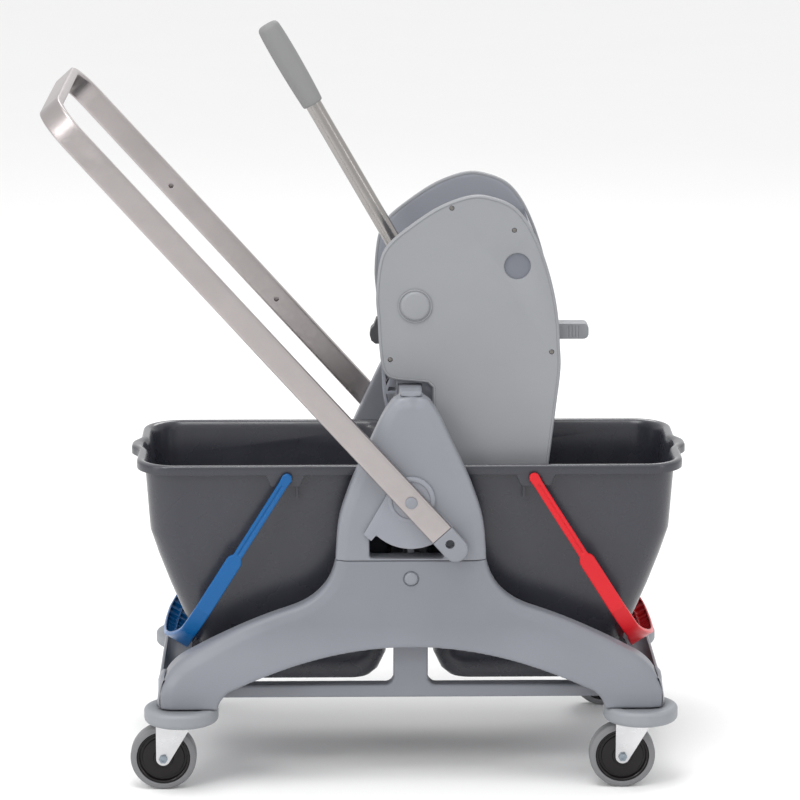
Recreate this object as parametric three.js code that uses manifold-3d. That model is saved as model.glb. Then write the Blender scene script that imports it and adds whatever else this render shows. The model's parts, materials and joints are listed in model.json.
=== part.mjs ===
// Double-bucket mopping trolley with a vertical press wringer, a folding U handle and a press lever.
// Millimetres, +Z up, +X along the trolley towards the wringer bucket, +Y away from the front side.
// Everything is laid out about the centre of the chassis and moved at the end, so that the origin
// lies on the floor under the middle of the whole trolley.

import * as THREE from 'three';
import { mergeVertices } from 'three/addons/utils/BufferGeometryUtils.js';
import Module from 'manifold-3d';

// ---------------------------------------------------------------- driving dimensions

const GAP = 0.3; // clearance between pieces that touch

// chassis
const FACE_Y = 165; // outer face of the side frames and towers
const FRAME_INNER_Y = 140; // inner face of the side frames
const LEG_FLARE = 30; // how far the feet of the side frames stand out past FACE_Y
const LEG_Z = 103; // underside of the feet
const ARCH_CROWN_Z = 173; // underside of the arch at mid-span
const ARCH_HALF_SPAN = 230;
const ARCH_SAG = 53.5; // drop of the arch from mid-span to the feet
const FOOT_TOE_X = 303; // outer end of the feet
const FOOT_HEEL_X = 233; // inner end of the feet
const FOOT_SHOULDER_Z = 122;
const SEAM_Z = 280; // seam between side frame and tower
const END_WALL_X = 308; // outer face of the end walls
const SEAT_X = [195, 225]; // cross member under each bucket
const SADDLE_BOTTOM_Z = 206;
const SADDLE_HALF = 17;
const TOWER_INNER_Y = 135;
const TOWER_HALF_BASE = 91;
const TOWER_TOP_Z = 487;
const RAIL_INNER_Y = 124;
const RAIL_BOTTOM_Z = 103;
const RAIL_TOP_Z = 119;
const POST_HALF = 21;
const POST_FILLET = 12;
const PLUG_Z = 258;

// casters
const SWIVEL_X = 278;
const SWIVEL_Y = 172.5;
const WHEEL_RADIUS = 40;
const WHEEL_HALF_WIDTH = 11;
const WHEEL_TRAIL = 22;
const TYRE_INNER_RADIUS = 32.5;
const WHEEL_SIDES = 20;
const RING_RADIUS = 45;
const RING_BOTTOM_Z = 84;
const RING_TOP_Z = 102.5;
const STEM_RADIUS = 6;
const AXLE_RADIUS = 4;

// buckets
const RIM_Z = 390;
const RIM_LIP = 12; // height of the turned-down rim
const RIM_HALF_WIDTH = 131;
const RIM_INNER_X = 10;
const RIM_OUTER_X = 332;
const SPOUT = 10; // how far the pouring lip stands out of the rim
const SPOUT_HALF = 34;
const BUCKET_BOTTOM_Z = 112;
const BUCKET_WALL = 2.8;

// bails
const BAIL_X = 151;
const BAIL_Z = 372;
const BAIL_OUTER_Y = 138.5;
const BAIL_THICK = 5.5;
const BAIL_ANGLE = 57.9; // degrees below the horizontal at rest
const BAIL_PIN_RADIUS = 4;

// pull handle
const HANDLE_PIVOT_Z = 356;
const HANDLE_ANGLE = 47.9; // degrees above the horizontal at rest, leaning to -X
const HANDLE_REACH = 640; // pivot to the outside of the crossbar
const HANDLE_OUTER_Y = 183;
const HANDLE_THICK = 12;
const HANDLE_WIDTH = 30;
const HANDLE_CORNER = 50;
const HANDLE_TAIL = 54; // tube length below the pivot
const CAP_END = 79; // centre of the cap's round end, below the pivot
const PIN_RADIUS = 5;

// wringer
const COVER_Y = 97;
const COVER_THICK = 4;
const COVER_FLANGE = 8;
const SHAFT_X = 6;
const SHAFT_Z = 579;
const SHAFT_RADIUS = 6;
const WRINGER_BOTTOM_Z = 345;
const BULKHEAD_X = 36;
const DRAIN_PLATE_X = 150;
const PRESS_X = 44;
const PRESS_THICK = 6;
const ROD_Y = 77;
const ROD_Z = 440;
const ROD_RADIUS = 4;
const PEG_TOP_Z = 481;
const PEG_HALF = 14;

// rack and sector gear
const MODULE = 4;
const TEETH = 18;
const PRESSURE_ANGLE = 20 * Math.PI / 180;
const ADDENDUM = 0.8 * MODULE;
const DEDENDUM = 1.1 * MODULE;
const BACKLASH = 0.5;
const GEAR_HALF_WIDTH = 9;
const PITCH_RADIUS = MODULE * TEETH / 2;
const RACK_BOTTOM_Z = 515;
const RACK_END_X = -48;

// lever
const LEVER_ANGLE = 29.9; // degrees from the vertical at rest, leaning to -X
const LEVER_LENGTH = 374;
const LEVER_OFFSET = 9.7; // from the shaft to the tube's centre line
const LEVER_TUBE_RADIUS = 10;
const LEVER_WALL = 1.5;
const GRIP_LENGTH = 112;

// ---------------------------------------------------------------- materials

function finish(color, roughness, metalness = 0) {
  return new THREE.MeshStandardMaterial({ color, roughness, metalness });
}

const frameGrey = finish(0x9799a0, 0.45);
const ringGrey = finish(0x9a9c9f, 0.6);
const coverGrey = finish(0x9b9da0, 0.42);
const innerGrey = finish(0x7f828a, 0.5);
const bucketGrey = finish(0x4b4c54, 0.4);
const blue = finish(0x1f6fbe, 0.38);
const red = finish(0xe03038, 0.38);
const anodised = finish(0xb1aaab, 0.35, 0.9);
const steel = finish(0xb9b7b0, 0.28, 1);
const zinc = finish(0xd4d5d6, 0.3, 1);
const gripGrey = finish(0x85888c, 0.7);
const tyreGrey = finish(0x96979a, 0.7);
const hubBlack = finish(0x232021, 0.45);

// ---------------------------------------------------------------- shape helpers

const wasm = await Module();
wasm.setup();

function solid(geometry) {
  const bare = geometry.clone();
  bare.deleteAttribute('normal');
  bare.deleteAttribute('uv');
  const merged = mergeVertices(bare, 1e-3);
  return new wasm.Manifold(new wasm.Mesh({
    numProp: 3,
    vertProperties: new Float32Array(merged.attributes.position.array),
    triVerts: new Uint32Array(merged.index.array),
  }));
}

function geometryOf(manifold) {
  const mesh = manifold.getMesh();
  const geometry = new THREE.BufferGeometry();
  geometry.setAttribute('position', new THREE.BufferAttribute(new Float32Array(mesh.vertProperties), 3));
  geometry.setIndex(new THREE.BufferAttribute(new Uint32Array(mesh.triVerts), 1));
  geometry.computeVertexNormals();
  return geometry;
}

function joined(first, ...others) {
  return geometryOf(others.reduce((sum, other) => sum.add(solid(other)), solid(first)));
}

function cut(first, ...tools) {
  return geometryOf(tools.reduce((rest, tool) => rest.subtract(solid(tool)), solid(first)));
}

function common(first, second) {
  return geometryOf(solid(first).intersect(solid(second)));
}

// a copy mirrored across the plane through the origin square to one axis ('x' or 'y')
function mirrored(geometry, axis) {
  const bare = geometry.clone();
  bare.deleteAttribute('normal');
  bare.deleteAttribute('uv');
  const copy = mergeVertices(bare, 1e-3);
  copy.scale(axis === 'x' ? -1 : 1, axis === 'y' ? -1 : 1, 1);
  const index = copy.index.array;
  for (let i = 0; i < index.length; i += 3) {
    const swap = index[i];
    index[i] = index[i + 1];
    index[i + 1] = swap;
  }
  copy.computeVertexNormals();
  return copy;
}

function polygon(points) {
  return new THREE.Shape(points.map(([x, y]) => new THREE.Vector2(x, y)));
}

// an outline drawn in X and Z, given thickness from y0 to y1
function alongY(shape, y0, y1, options = {}) {
  const bevel = options.bevelSize ?? 0;
  const geometry = new THREE.ExtrudeGeometry(shape, {
    depth: y1 - y0 - 2 * bevel,
    bevelEnabled: bevel > 0,
    bevelThickness: bevel,
    bevelOffset: -bevel,
    curveSegments: 6,
    bevelSegments: 1,
    ...options,
  });
  geometry.rotateX(Math.PI / 2);
  geometry.translate(0, y1 - bevel, 0);
  return geometry;
}

// an outline drawn in Y and Z, given thickness from x0 to x1
function alongX(shape, x0, x1) {
  const depth = x1 - x0;
  const geometry = new THREE.ExtrudeGeometry(shape, { depth, bevelEnabled: false, curveSegments: 6 });
  geometry.rotateX(Math.PI / 2);
  geometry.rotateZ(Math.PI / 2);
  geometry.translate(x0, 0, 0);
  return geometry;
}

// an outline drawn in X and Y, given height from z0 to z1
function alongZ(shape, z0, z1, options = {}) {
  const bevel = options.bevelSize ?? 0;
  const geometry = new THREE.ExtrudeGeometry(shape, {
    depth: z1 - z0 - 2 * bevel,
    bevelEnabled: bevel > 0,
    bevelThickness: bevel,
    bevelOffset: -bevel,
    curveSegments: 5,
    bevelSegments: 1,
    ...options,
  });
  geometry.translate(0, 0, z0 + bevel);
  return geometry;
}

function box(x0, x1, y0, y1, z0, z1) {
  const geometry = new THREE.BoxGeometry(x1 - x0, y1 - y0, z1 - z0);
  geometry.translate((x0 + x1) / 2, (y0 + y1) / 2, (z0 + z1) / 2);
  return geometry;
}

// a turned piece about the Y axis; profile points are [radius, y]
function turned(profile, sides) {
  return new THREE.LatheGeometry(profile.map(([r, y]) => new THREE.Vector2(r, y)), sides);
}

// the same about the Z axis; profile points are [radius, z]
function turnedZ(profile, sides) {
  const geometry = turned(profile, sides);
  geometry.rotateX(Math.PI / 2);
  return geometry;
}

// a rod along Y through (x, z)
function rodY(radius, y0, y1, x = 0, z = 0, sides = 16) {
  const geometry = new THREE.CylinderGeometry(radius, radius, y1 - y0, sides);
  geometry.translate(x, (y0 + y1) / 2, z);
  return geometry;
}

function rodX(radius, x0, x1, y, z, sides = 12) {
  const geometry = new THREE.CylinderGeometry(radius, radius, x1 - x0, sides);
  geometry.rotateZ(Math.PI / 2);
  geometry.translate((x0 + x1) / 2, y, z);
  return geometry;
}

// an outline moved inwards by a distance, corner by corner; points run counter-clockwise
function inset(points, distance) {
  return points.map((point, i) => {
    const before = points[(i + points.length - 1) % points.length];
    const after = points[(i + 1) % points.length];
    const a = new THREE.Vector2(point[0] - before[0], point[1] - before[1]).normalize();
    const b = new THREE.Vector2(after[0] - point[0], after[1] - point[1]).normalize();
    const normal = new THREE.Vector2(-a.y - b.y, a.x + b.x).normalize();
    const reach = distance / Math.max(0.5, -a.y * normal.x + a.x * normal.y);
    return [point[0] + normal.x * reach, point[1] + normal.y * reach];
  });
}

// a closed skin over a stack of rings with the same number of points
function loft(rings) {
  const count = rings[0].length;
  const positions = rings.flat().flatMap((p) => [p.x, p.y, p.z]);
  const index = [];
  for (let r = 0; r + 1 < rings.length; r += 1) {
    for (let i = 0; i < count; i += 1) {
      const a = r * count + i;
      const b = r * count + (i + 1) % count;
      index.push(a, b, b + count, a, b + count, a + count);
    }
  }
  const last = (rings.length - 1) * count;
  for (let i = 1; i + 1 < count; i += 1) {
    index.push(0, i + 1, i);
    index.push(last, last + i, last + i + 1);
  }
  const geometry = new THREE.BufferGeometry();
  geometry.setAttribute('position', new THREE.Float32BufferAttribute(positions, 3));
  geometry.setIndex(index);
  geometry.computeVertexNormals();
  return geometry;
}

const trolley = new THREE.Group();

function add(name, geometry, material, parent = trolley) {
  const mesh = new THREE.Mesh(geometry, material);
  mesh.name = name;
  parent.add(mesh);
  return mesh;
}

// the same piece on the front side (near, -Y) and on the back side (far, +Y)
function addPair(name, nearGeometry, material, parent = trolley) {
  add(`${name}_near`, nearGeometry, material, parent);
  add(`${name}_far`, mirrored(nearGeometry, 'y'), material, parent);
}

// ---------------------------------------------------------------- chassis

// an arch on two feet: low curved underside, raised shoulders and a neck up to the tower
function archShape() {
  const [springX, springZ] = [ARCH_HALF_SPAN - 10, ARCH_CROWN_Z - ARCH_SAG + 4];
  const [kneeX, kneeZ] = [ARCH_HALF_SPAN + 2, ARCH_CROWN_Z - ARCH_SAG - 6];
  const shape = new THREE.Shape();
  shape.moveTo(-FOOT_TOE_X, LEG_Z);
  shape.lineTo(-FOOT_HEEL_X, LEG_Z);
  shape.quadraticCurveTo(-kneeX, kneeZ, -springX, springZ);
  shape.quadraticCurveTo(0, ARCH_CROWN_Z + ARCH_SAG - 4, springX, springZ);
  shape.quadraticCurveTo(kneeX, kneeZ, FOOT_HEEL_X, LEG_Z);
  shape.lineTo(FOOT_TOE_X, LEG_Z);
  shape.lineTo(FOOT_TOE_X, FOOT_SHOULDER_Z);
  shape.quadraticCurveTo(298, 149, 273, 163);
  shape.quadraticCurveTo(205, 200, 150, 218);
  shape.quadraticCurveTo(98, 234, TOWER_HALF_BASE, SEAM_Z);
  shape.lineTo(-TOWER_HALF_BASE, SEAM_Z);
  shape.quadraticCurveTo(-98, 234, -150, 218);
  shape.quadraticCurveTo(-205, 200, -273, 163);
  shape.quadraticCurveTo(-298, 149, -FOOT_TOE_X, FOOT_SHOULDER_Z);
  shape.lineTo(-FOOT_TOE_X, LEG_Z);
  return shape;
}

// the inner tie rail with a short post up to the crown of the arch
function railShape() {
  const shape = new THREE.Shape();
  const end = ARCH_HALF_SPAN + 5;
  shape.moveTo(-end, RAIL_BOTTOM_Z);
  shape.lineTo(end, RAIL_BOTTOM_Z);
  shape.lineTo(end, RAIL_TOP_Z);
  shape.lineTo(POST_HALF + POST_FILLET, RAIL_TOP_Z);
  shape.quadraticCurveTo(POST_HALF, RAIL_TOP_Z, POST_HALF, RAIL_TOP_Z + POST_FILLET);
  shape.lineTo(POST_HALF, ARCH_CROWN_Z + 30);
  shape.lineTo(-POST_HALF, ARCH_CROWN_Z + 30);
  shape.lineTo(-POST_HALF, RAIL_TOP_Z + POST_FILLET);
  shape.quadraticCurveTo(-POST_HALF, RAIL_TOP_Z, -POST_HALF - POST_FILLET, RAIL_TOP_Z);
  shape.lineTo(-end, RAIL_TOP_Z);
  return shape;
}

// the feet stand out past the face: everything low down follows this section, drawn in Y and Z
function footSection() {
  return polygon([
    [-FRAME_INNER_Y - 10, LEG_Z - 1], [-FACE_Y - LEG_FLARE, LEG_Z - 1], [-FACE_Y - LEG_FLARE + 2, 124],
    [-FACE_Y - 18, 152], [-FACE_Y - 7, 175], [-FACE_Y + 2, 196], [-FRAME_INNER_Y - 10, 196],
  ]);
}

function sideFrame() {
  const arch = alongY(archShape(), -FACE_Y, -FRAME_INNER_Y, { bevelSize: 5, curveSegments: 5 });
  const wide = alongY(archShape(), -FACE_Y - LEG_FLARE, -FRAME_INNER_Y - 5, { curveSegments: 5 });
  const feet = common(wide, alongX(footSection(), -310, 310));
  const rail = alongY(railShape(), -FRAME_INNER_Y - 2, -RAIL_INNER_Y);
  const stemHole = new THREE.CylinderGeometry(STEM_RADIUS + 0.5, STEM_RADIUS + 0.5, 40, 16);
  stemHole.rotateX(Math.PI / 2);
  const holes = [-SWIVEL_X, SWIVEL_X].map((x) => stemHole.clone().translate(x, -SWIVEL_Y, LEG_Z));
  return cut(joined(arch, feet, rail), ...holes);
}

addPair('side_frame', sideFrame(), frameGrey);

const plug = turned([[0, -2.5], [6, -2.5], [8, -1.5], [8, 0], [0, 0]], 20);
addPair('frame_plug', plug.clone().translate(0, -FACE_Y - GAP, PLUG_Z), frameGrey);

// low end walls between the feet, behind the buckets' outer ends
function endBeam() {
  const shape = new THREE.Shape();
  shape.moveTo(-150, 104);
  shape.lineTo(-122, 104);
  shape.lineTo(-118, 93);
  shape.lineTo(118, 93);
  shape.lineTo(122, 104);
  shape.lineTo(150, 104);
  shape.lineTo(150, 142);
  shape.quadraticCurveTo(150, 146, 146, 146);
  shape.lineTo(-146, 146);
  shape.quadraticCurveTo(-150, 146, -150, 142);
  return alongX(shape, FOOT_TOE_X + GAP, END_WALL_X);
}

add('end_beam_right', endBeam(), frameGrey);
add('end_beam_left', mirrored(endBeam(), 'x'), frameGrey);

// cross members that carry the outer ends of the buckets
const seatHalf = RAIL_INNER_Y - GAP;
const seat = box(...SEAT_X, -seatHalf, seatHalf, RAIL_BOTTOM_Z, BUCKET_BOTTOM_Z - GAP);
add('bucket_seat_right', seat, frameGrey);
add('bucket_seat_left', mirrored(seat, 'x'), frameGrey);

// I-section wall between the towers that carries both inner rims
const saddleTop = RIM_Z - RIM_LIP - GAP;
const flangeTop = SADDLE_BOTTOM_Z + 8;
const saddleRight = [
  [SADDLE_HALF, SADDLE_BOTTOM_Z], [SADDLE_HALF, flangeTop], [4, flangeTop], [4, saddleTop - 8],
  [SADDLE_HALF, saddleTop - 8], [SADDLE_HALF, saddleTop],
];
const saddleLeft = saddleRight.map(([x, z]) => [-x, z]).reverse();
const saddle = alongY(polygon([...saddleRight, ...saddleLeft]), -TOWER_INNER_Y + GAP, TOWER_INNER_Y - GAP);
add('centre_saddle', saddle, innerGrey);

// towers: shields that narrow to a top with an inward peg, on which the wringer stands
function towerShape() {
  const side = [
    [TOWER_HALF_BASE, SEAM_Z + GAP], [87, 327], [75.5, 365], [64, 393], [48, 427], [34.5, 456],
    [24.5, 474], [14, TOWER_TOP_Z],
  ];
  const left = side.map(([x, z]) => [-x, z]).reverse();
  return polygon([...side, ...left]);
}

function tower() {
  const body = alongY(towerShape(), -FACE_Y, -TOWER_INNER_Y, { bevelSize: 6 });
  const peg = box(-PEG_HALF, PEG_HALF, -TOWER_INNER_Y - 5, -66, PEG_TOP_Z - 19, PEG_TOP_Z);
  const window = box(-50, 40, -FACE_Y - 1, -TOWER_INNER_Y + 1, SEAM_Z + 3, SEAM_Z + 30);
  const pinHole = rodY(PIN_RADIUS + 0.4, -FACE_Y - 1, -TOWER_INNER_Y - 12, 0, HANDLE_PIVOT_Z);
  return cut(joined(body, peg), window, pinHole);
}

addPair('tower', tower(), frameGrey);

// ---------------------------------------------------------------- casters

const bumper = turnedZ([
  [10, RING_BOTTOM_Z], [38, RING_BOTTOM_Z], [RING_RADIUS, RING_BOTTOM_Z + 6],
  [RING_RADIUS, RING_TOP_Z - 6], [39, RING_TOP_Z], [10, RING_TOP_Z], [10, RING_BOTTOM_Z],
], WHEEL_SIDES);

const tyre = turned([
  [TYRE_INNER_RADIUS, -WHEEL_HALF_WIDTH], [37, -WHEEL_HALF_WIDTH], [WHEEL_RADIUS, -6],
  [WHEEL_RADIUS, 6], [37, WHEEL_HALF_WIDTH], [TYRE_INNER_RADIUS, WHEEL_HALF_WIDTH],
  [TYRE_INNER_RADIUS, -WHEEL_HALF_WIDTH],
], WHEEL_SIDES);

const hubRadius = TYRE_INNER_RADIUS - GAP;
const hub = turned([
  [AXLE_RADIUS + 0.4, -12], [12, -12], [hubRadius, -10], [hubRadius, 10], [12, 12],
  [AXLE_RADIUS + 0.4, 12], [AXLE_RADIUS + 0.4, -12],
], WHEEL_SIDES);

const axle = turned([
  [0, -18.5], [6, -18.5], [6, -15.3], [AXLE_RADIUS, -15.3],
  [AXLE_RADIUS, 15.3], [6, 15.3], [6, 18.5], [0, 18.5],
], 10);

// pressed fork: a top plate on a stem and two tapering cheeks down to the axle
function fork() {
  const cheek = new THREE.Shape();
  cheek.moveTo(-8.5, 0);
  cheek.absarc(0, 0, 8.5, Math.PI, 2 * Math.PI - 0.55, false);
  cheek.lineTo(33, 38);
  cheek.lineTo(33, 43.3);
  cheek.lineTo(-8.5, 43.3);
  const near = alongY(cheek, -15, -12.6, { curveSegments: 4 });
  const far = alongY(cheek, 12.6, 15, { curveSegments: 4 });
  const plate = box(-8.5, 33, -15, 15, 41, 43.3);
  const bearing = new THREE.CylinderGeometry(15, 15, 2.6, 12);
  bearing.rotateX(Math.PI / 2);
  bearing.translate(WHEEL_TRAIL, 0, 42);
  const stem = new THREE.CylinderGeometry(STEM_RADIUS, STEM_RADIUS, 37, 10);
  stem.rotateX(Math.PI / 2);
  stem.translate(WHEEL_TRAIL, 0, 60);
  const bolt = rodY(AXLE_RADIUS + 0.2, -20, 20, 0, 0, 10);
  return cut(joined(plate, near, far, bearing, stem), bolt);
}

const forkGeometry = fork();
for (const [end, sx] of [['left', -1], ['right', 1]]) {
  for (const [side, sy] of [['near', -1], ['far', 1]]) {
    const caster = new THREE.Group();
    caster.position.set(sx * SWIVEL_X, sy * SWIVEL_Y, 0);
    if (sx < 0 && sy > 0) caster.rotation.z = Math.PI / 2; // this one has swivelled to trail inwards
    trolley.add(caster);
    const corner = `${side}_${end}`;
    add(`bumper_ring_${corner}`, bumper, ringGrey, caster);
    const wheel = new THREE.Group();
    wheel.position.set(-WHEEL_TRAIL, 0, WHEEL_RADIUS);
    caster.add(wheel);
    add(`caster_fork_${corner}`, forkGeometry, zinc, wheel);
    add(`caster_tyre_${corner}`, tyre, tyreGrey, wheel);
    add(`caster_hub_${corner}`, hub, hubBlack, wheel);
    add(`caster_axle_${corner}`, axle, steel, wheel);
  }
}

// ---------------------------------------------------------------- buckets

// a level, rounded ring of a bucket wall, with a pouring lip in the middle of its outer end
function bucketRing(innerX, outerX, half, radius, z, spout = 0) {
  const points = [];
  const corners = [
    [outerX - radius, half - radius, 0], [innerX + radius, half - radius, 90],
    [innerX + radius, radius - half, 180], [outerX - radius, radius - half, 270],
  ];
  for (const [x, y, start] of corners) {
    for (let step = 0; step <= 4; step += 1) {
      const a = (start + step * 22.5) * Math.PI / 180;
      points.push(new THREE.Vector3(x + radius * Math.cos(a), y + radius * Math.sin(a), z));
    }
  }
  points.push(new THREE.Vector3(outerX, -SPOUT_HALF, z));
  points.push(new THREE.Vector3(outerX + spout, -SPOUT_HALF / 4, z));
  points.push(new THREE.Vector3(outerX + spout, SPOUT_HALF / 4, z));
  points.push(new THREE.Vector3(outerX, SPOUT_HALF, z));
  return points;
}

// outside of the wall from the floor up: inner end, outer end, half width, corner radius, height, lip
const wallStations = [
  [48, 234, 87, 26, BUCKET_BOTTOM_Z, 0],
  [38, 244, 93, 32, 119, 0],
  [29, 256, 97.5, 37, 140, 0],
  [24, 293, 106, 39, 230, 0],
  [22.5, 307, 109.5, 40, 268, 0],
  [21.5, 317, 113, 40, 300, 0],
  [19, 322, 121, 40, RIM_Z - RIM_LIP, 6],
];

function bucket() {
  const outside = wallStations.map((station) => bucketRing(...station));
  const top = wallStations.at(-1);
  const rim = [
    bucketRing(RIM_INNER_X, RIM_OUTER_X, RIM_HALF_WIDTH, 48, RIM_Z - RIM_LIP, SPOUT),
    bucketRing(RIM_INNER_X, RIM_OUTER_X, RIM_HALF_WIDTH, 48, RIM_Z, SPOUT),
    bucketRing(top[0] - 1, top[1] + 1, top[2] + 1, 41, RIM_Z, 7),
  ];
  const inside = wallStations.slice(1).reverse().map(([x0, x1, half, radius, z, lip]) => bucketRing(
    x0 + BUCKET_WALL, x1 - BUCKET_WALL, half - BUCKET_WALL, radius - BUCKET_WALL, z + 1, lip));
  const shell = loft([...outside, ...rim, ...inside]);
  const lug = polygon([
    [BAIL_X - 17, BAIL_Z - 8], [BAIL_X + 17, BAIL_Z - 8], [BAIL_X + 27, RIM_Z - 3],
    [BAIL_X - 27, RIM_Z - 3],
  ]);
  const lugs = [alongY(lug, -131, -119), alongY(lug, 119, 131)];
  const holes = [-1, 1].map((s) => rodY(BAIL_PIN_RADIUS + 0.4, s * 128 - 4.5, s * 128 + 4.5, BAIL_X, BAIL_Z));
  return cut(joined(shell, ...lugs), ...holes);
}

const rightBucket = bucket();
add('bucket_right', rightBucket, bucketGrey);
add('bucket_left', mirrored(rightBucket, 'x'), bucketGrey);

// bail: a bowed strap from pin to pin, slim near the pins and broad at the grip.
// Drawn with X along the arms, Y across the bucket and Z across the strap.
function bail() {
  const outer = new THREE.SplineCurve([[190, 138.5], [226, 125], [250, 88], [263, 40], [266, 0]]
    .map(([x, y]) => new THREE.Vector2(x, y))).getPoints(8).map((p) => [p.x, p.y]);
  const right = [[-10, BAIL_OUTER_Y], ...outer];
  const outline = [...right, ...right.slice(0, -1).reverse().map(([x, y]) => [x, -y])];
  const inner = inset(outline, -BAIL_THICK);
  inner[0][0] = -10;
  inner[inner.length - 1][0] = -10;
  const strap = alongZ(polygon([...outline, ...inner.reverse()]), -20, 20);
  const widths = [
    [-10, 0], [-9, 4], [-4, 6.5], [6, 5.6], [97, 5.6], [119, 9.7], [228, 9.7], [256, 16], [270, 16],
  ];
  const profile = polygon([...widths, ...widths.slice(1).reverse().map(([s, n]) => [s, -n])]);
  const pins = [rodY(BAIL_PIN_RADIUS, -135, -124.5), rodY(BAIL_PIN_RADIUS, 124.5, 135)];
  return joined(common(strap, alongY(profile, -150, 150)), ...pins);
}

const bailGeometry = bail();
for (const [end, sx, material] of [['left', -1, blue], ['right', 1, red]]) {
  const mesh = add(`bail_${end}`, bailGeometry, material);
  const angle = BAIL_ANGLE * Math.PI / 180;
  mesh.position.set(sx * BAIL_X, 0, BAIL_Z);
  mesh.rotation.y = sx > 0 ? angle : Math.PI - angle;
}

// ---------------------------------------------------------------- pull handle

// Drawn with X along the arms, Y across the trolley and Z across the flat of the tube.
const handle = new THREE.Group();
handle.position.set(0, 0, HANDLE_PIVOT_Z);
handle.rotation.y = -Math.PI + HANDLE_ANGLE * Math.PI / 180;
trolley.add(handle);

function handleTube() {
  const innerY = HANDLE_OUTER_Y - HANDLE_THICK;
  const innerCorner = HANDLE_CORNER - HANDLE_THICK;
  const bendX = HANDLE_REACH - HANDLE_CORNER;
  const bendY = HANDLE_OUTER_Y - HANDLE_CORNER;
  const shape = new THREE.Shape();
  shape.moveTo(-HANDLE_TAIL, -HANDLE_OUTER_Y);
  shape.lineTo(bendX, -HANDLE_OUTER_Y);
  shape.absarc(bendX, -bendY, HANDLE_CORNER, -Math.PI / 2, 0, false);
  shape.absarc(bendX, bendY, HANDLE_CORNER, 0, Math.PI / 2, false);
  shape.lineTo(-HANDLE_TAIL, HANDLE_OUTER_Y);
  shape.lineTo(-HANDLE_TAIL, innerY);
  shape.lineTo(bendX, innerY);
  shape.absarc(bendX, bendY, innerCorner, Math.PI / 2, 0, true);
  shape.absarc(bendX, -bendY, innerCorner, 0, -Math.PI / 2, true);
  shape.lineTo(-HANDLE_TAIL, -innerY);
  const tube = alongZ(shape, -HANDLE_WIDTH / 2, HANDLE_WIDTH / 2, { bevelSize: 4, curveSegments: 4 });
  return cut(tube, rodY(PIN_RADIUS + 0.3, -200, 200));
}

add('pull_handle', handleTube(), anodised, handle);

function handleCap() {
  const shape = new THREE.Shape();
  const half = HANDLE_WIDTH / 2;
  shape.moveTo(-HANDLE_TAIL - GAP, half);
  shape.lineTo(-CAP_END, half);
  shape.absarc(-CAP_END, 0, half, Math.PI / 2, 3 * Math.PI / 2, false);
  shape.lineTo(-HANDLE_TAIL - GAP, -half);
  const cap = alongY(shape, -HANDLE_OUTER_Y, HANDLE_THICK - HANDLE_OUTER_Y);
  return cut(cap, rodY(5.6, -200, -160, -CAP_END + 10, 0));
}

addPair('handle_cap', handleCap(), frameGrey, handle);

// stop sectors between arm and tower, drawn upright about the pivot
function stopSector() {
  const shape = new THREE.Shape();
  shape.moveTo(-57, -42);
  shape.lineTo(-48, -50);
  shape.lineTo(-42, -43);
  shape.absarc(0, 0, 60, 226 * Math.PI / 180, 327 * Math.PI / 180, false);
  shape.absarc(0, 0, 28.5, -0.35, 150 * Math.PI / 180, false);
  const plate = alongY(shape, -HANDLE_OUTER_Y + HANDLE_THICK + GAP, -FACE_Y - GAP);
  return cut(plate, rodY(PIN_RADIUS + 0.3, -200, -150));
}

const sectors = new THREE.Group();
sectors.position.set(0, 0, HANDLE_PIVOT_Z);
trolley.add(sectors);
addPair('stop_sector', stopSector(), innerGrey, sectors);

const pivotPin = turned([
  [0, -HANDLE_OUTER_Y - 3.5], [6, -HANDLE_OUTER_Y - 3.5], [7.3, -HANDLE_OUTER_Y - 2.5],
  [7.3, -HANDLE_OUTER_Y - GAP], [PIN_RADIUS, -HANDLE_OUTER_Y - GAP],
  [PIN_RADIUS, -TOWER_INNER_Y - 14], [0, -TOWER_INNER_Y - 14],
], 16);
addPair('handle_pin', pivotPin, frameGrey, sectors);

// ---------------------------------------------------------------- wringer casing

// the outline of the side covers, counter-clockwise from the bottom left
function coverOutline() {
  const edge = [
    [163, WRINGER_BOTTOM_Z], [168, 379], [177, 455], [182, 500], [181, 530], [178, 570],
    [170, 610], [158, 647], [143, 678], [125, 699], [101, 710], [74, 713], [36, 700], [-2, 675],
    [-27, 653], [-37, 630], [-41, 590], [-39, 560], [-37, 525], [-33, 501], [-22, 489],
  ];
  return [[BULKHEAD_X, WRINGER_BOTTOM_Z], ...edge, [BULKHEAD_X, 483]];
}

function cover() {
  const outline = coverOutline();
  const plateInnerY = -COVER_Y + COVER_THICK;
  const plate = alongY(polygon(outline), -COVER_Y, plateInnerY, { bevelSize: 1.5 });
  const ringOuter = alongY(polygon(outline), plateInnerY - 2, plateInnerY + COVER_FLANGE);
  const ringInner = alongY(polygon(inset(outline, 3)), plateInnerY - 3, -COVER_Y + 30);
  const recess = rodY(16.5, -COVER_Y - 1, -COVER_Y + 2, 129, 627, 20);
  return cut(joined(plate, cut(ringOuter, ringInner)), recess);
}

const wringer = new THREE.Group();
trolley.add(wringer);
addPair('wringer_cover', cover(), coverGrey, wringer);

const CASE_Y = COVER_Y - COVER_THICK - GAP; // outside of the casing's side walls
const CASE_INNER_Y = CASE_Y - 3.7;
const FOOT_OUTER_Y = COVER_Y - COVER_THICK - COVER_FLANGE - GAP; // clear of the cover's flange

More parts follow.
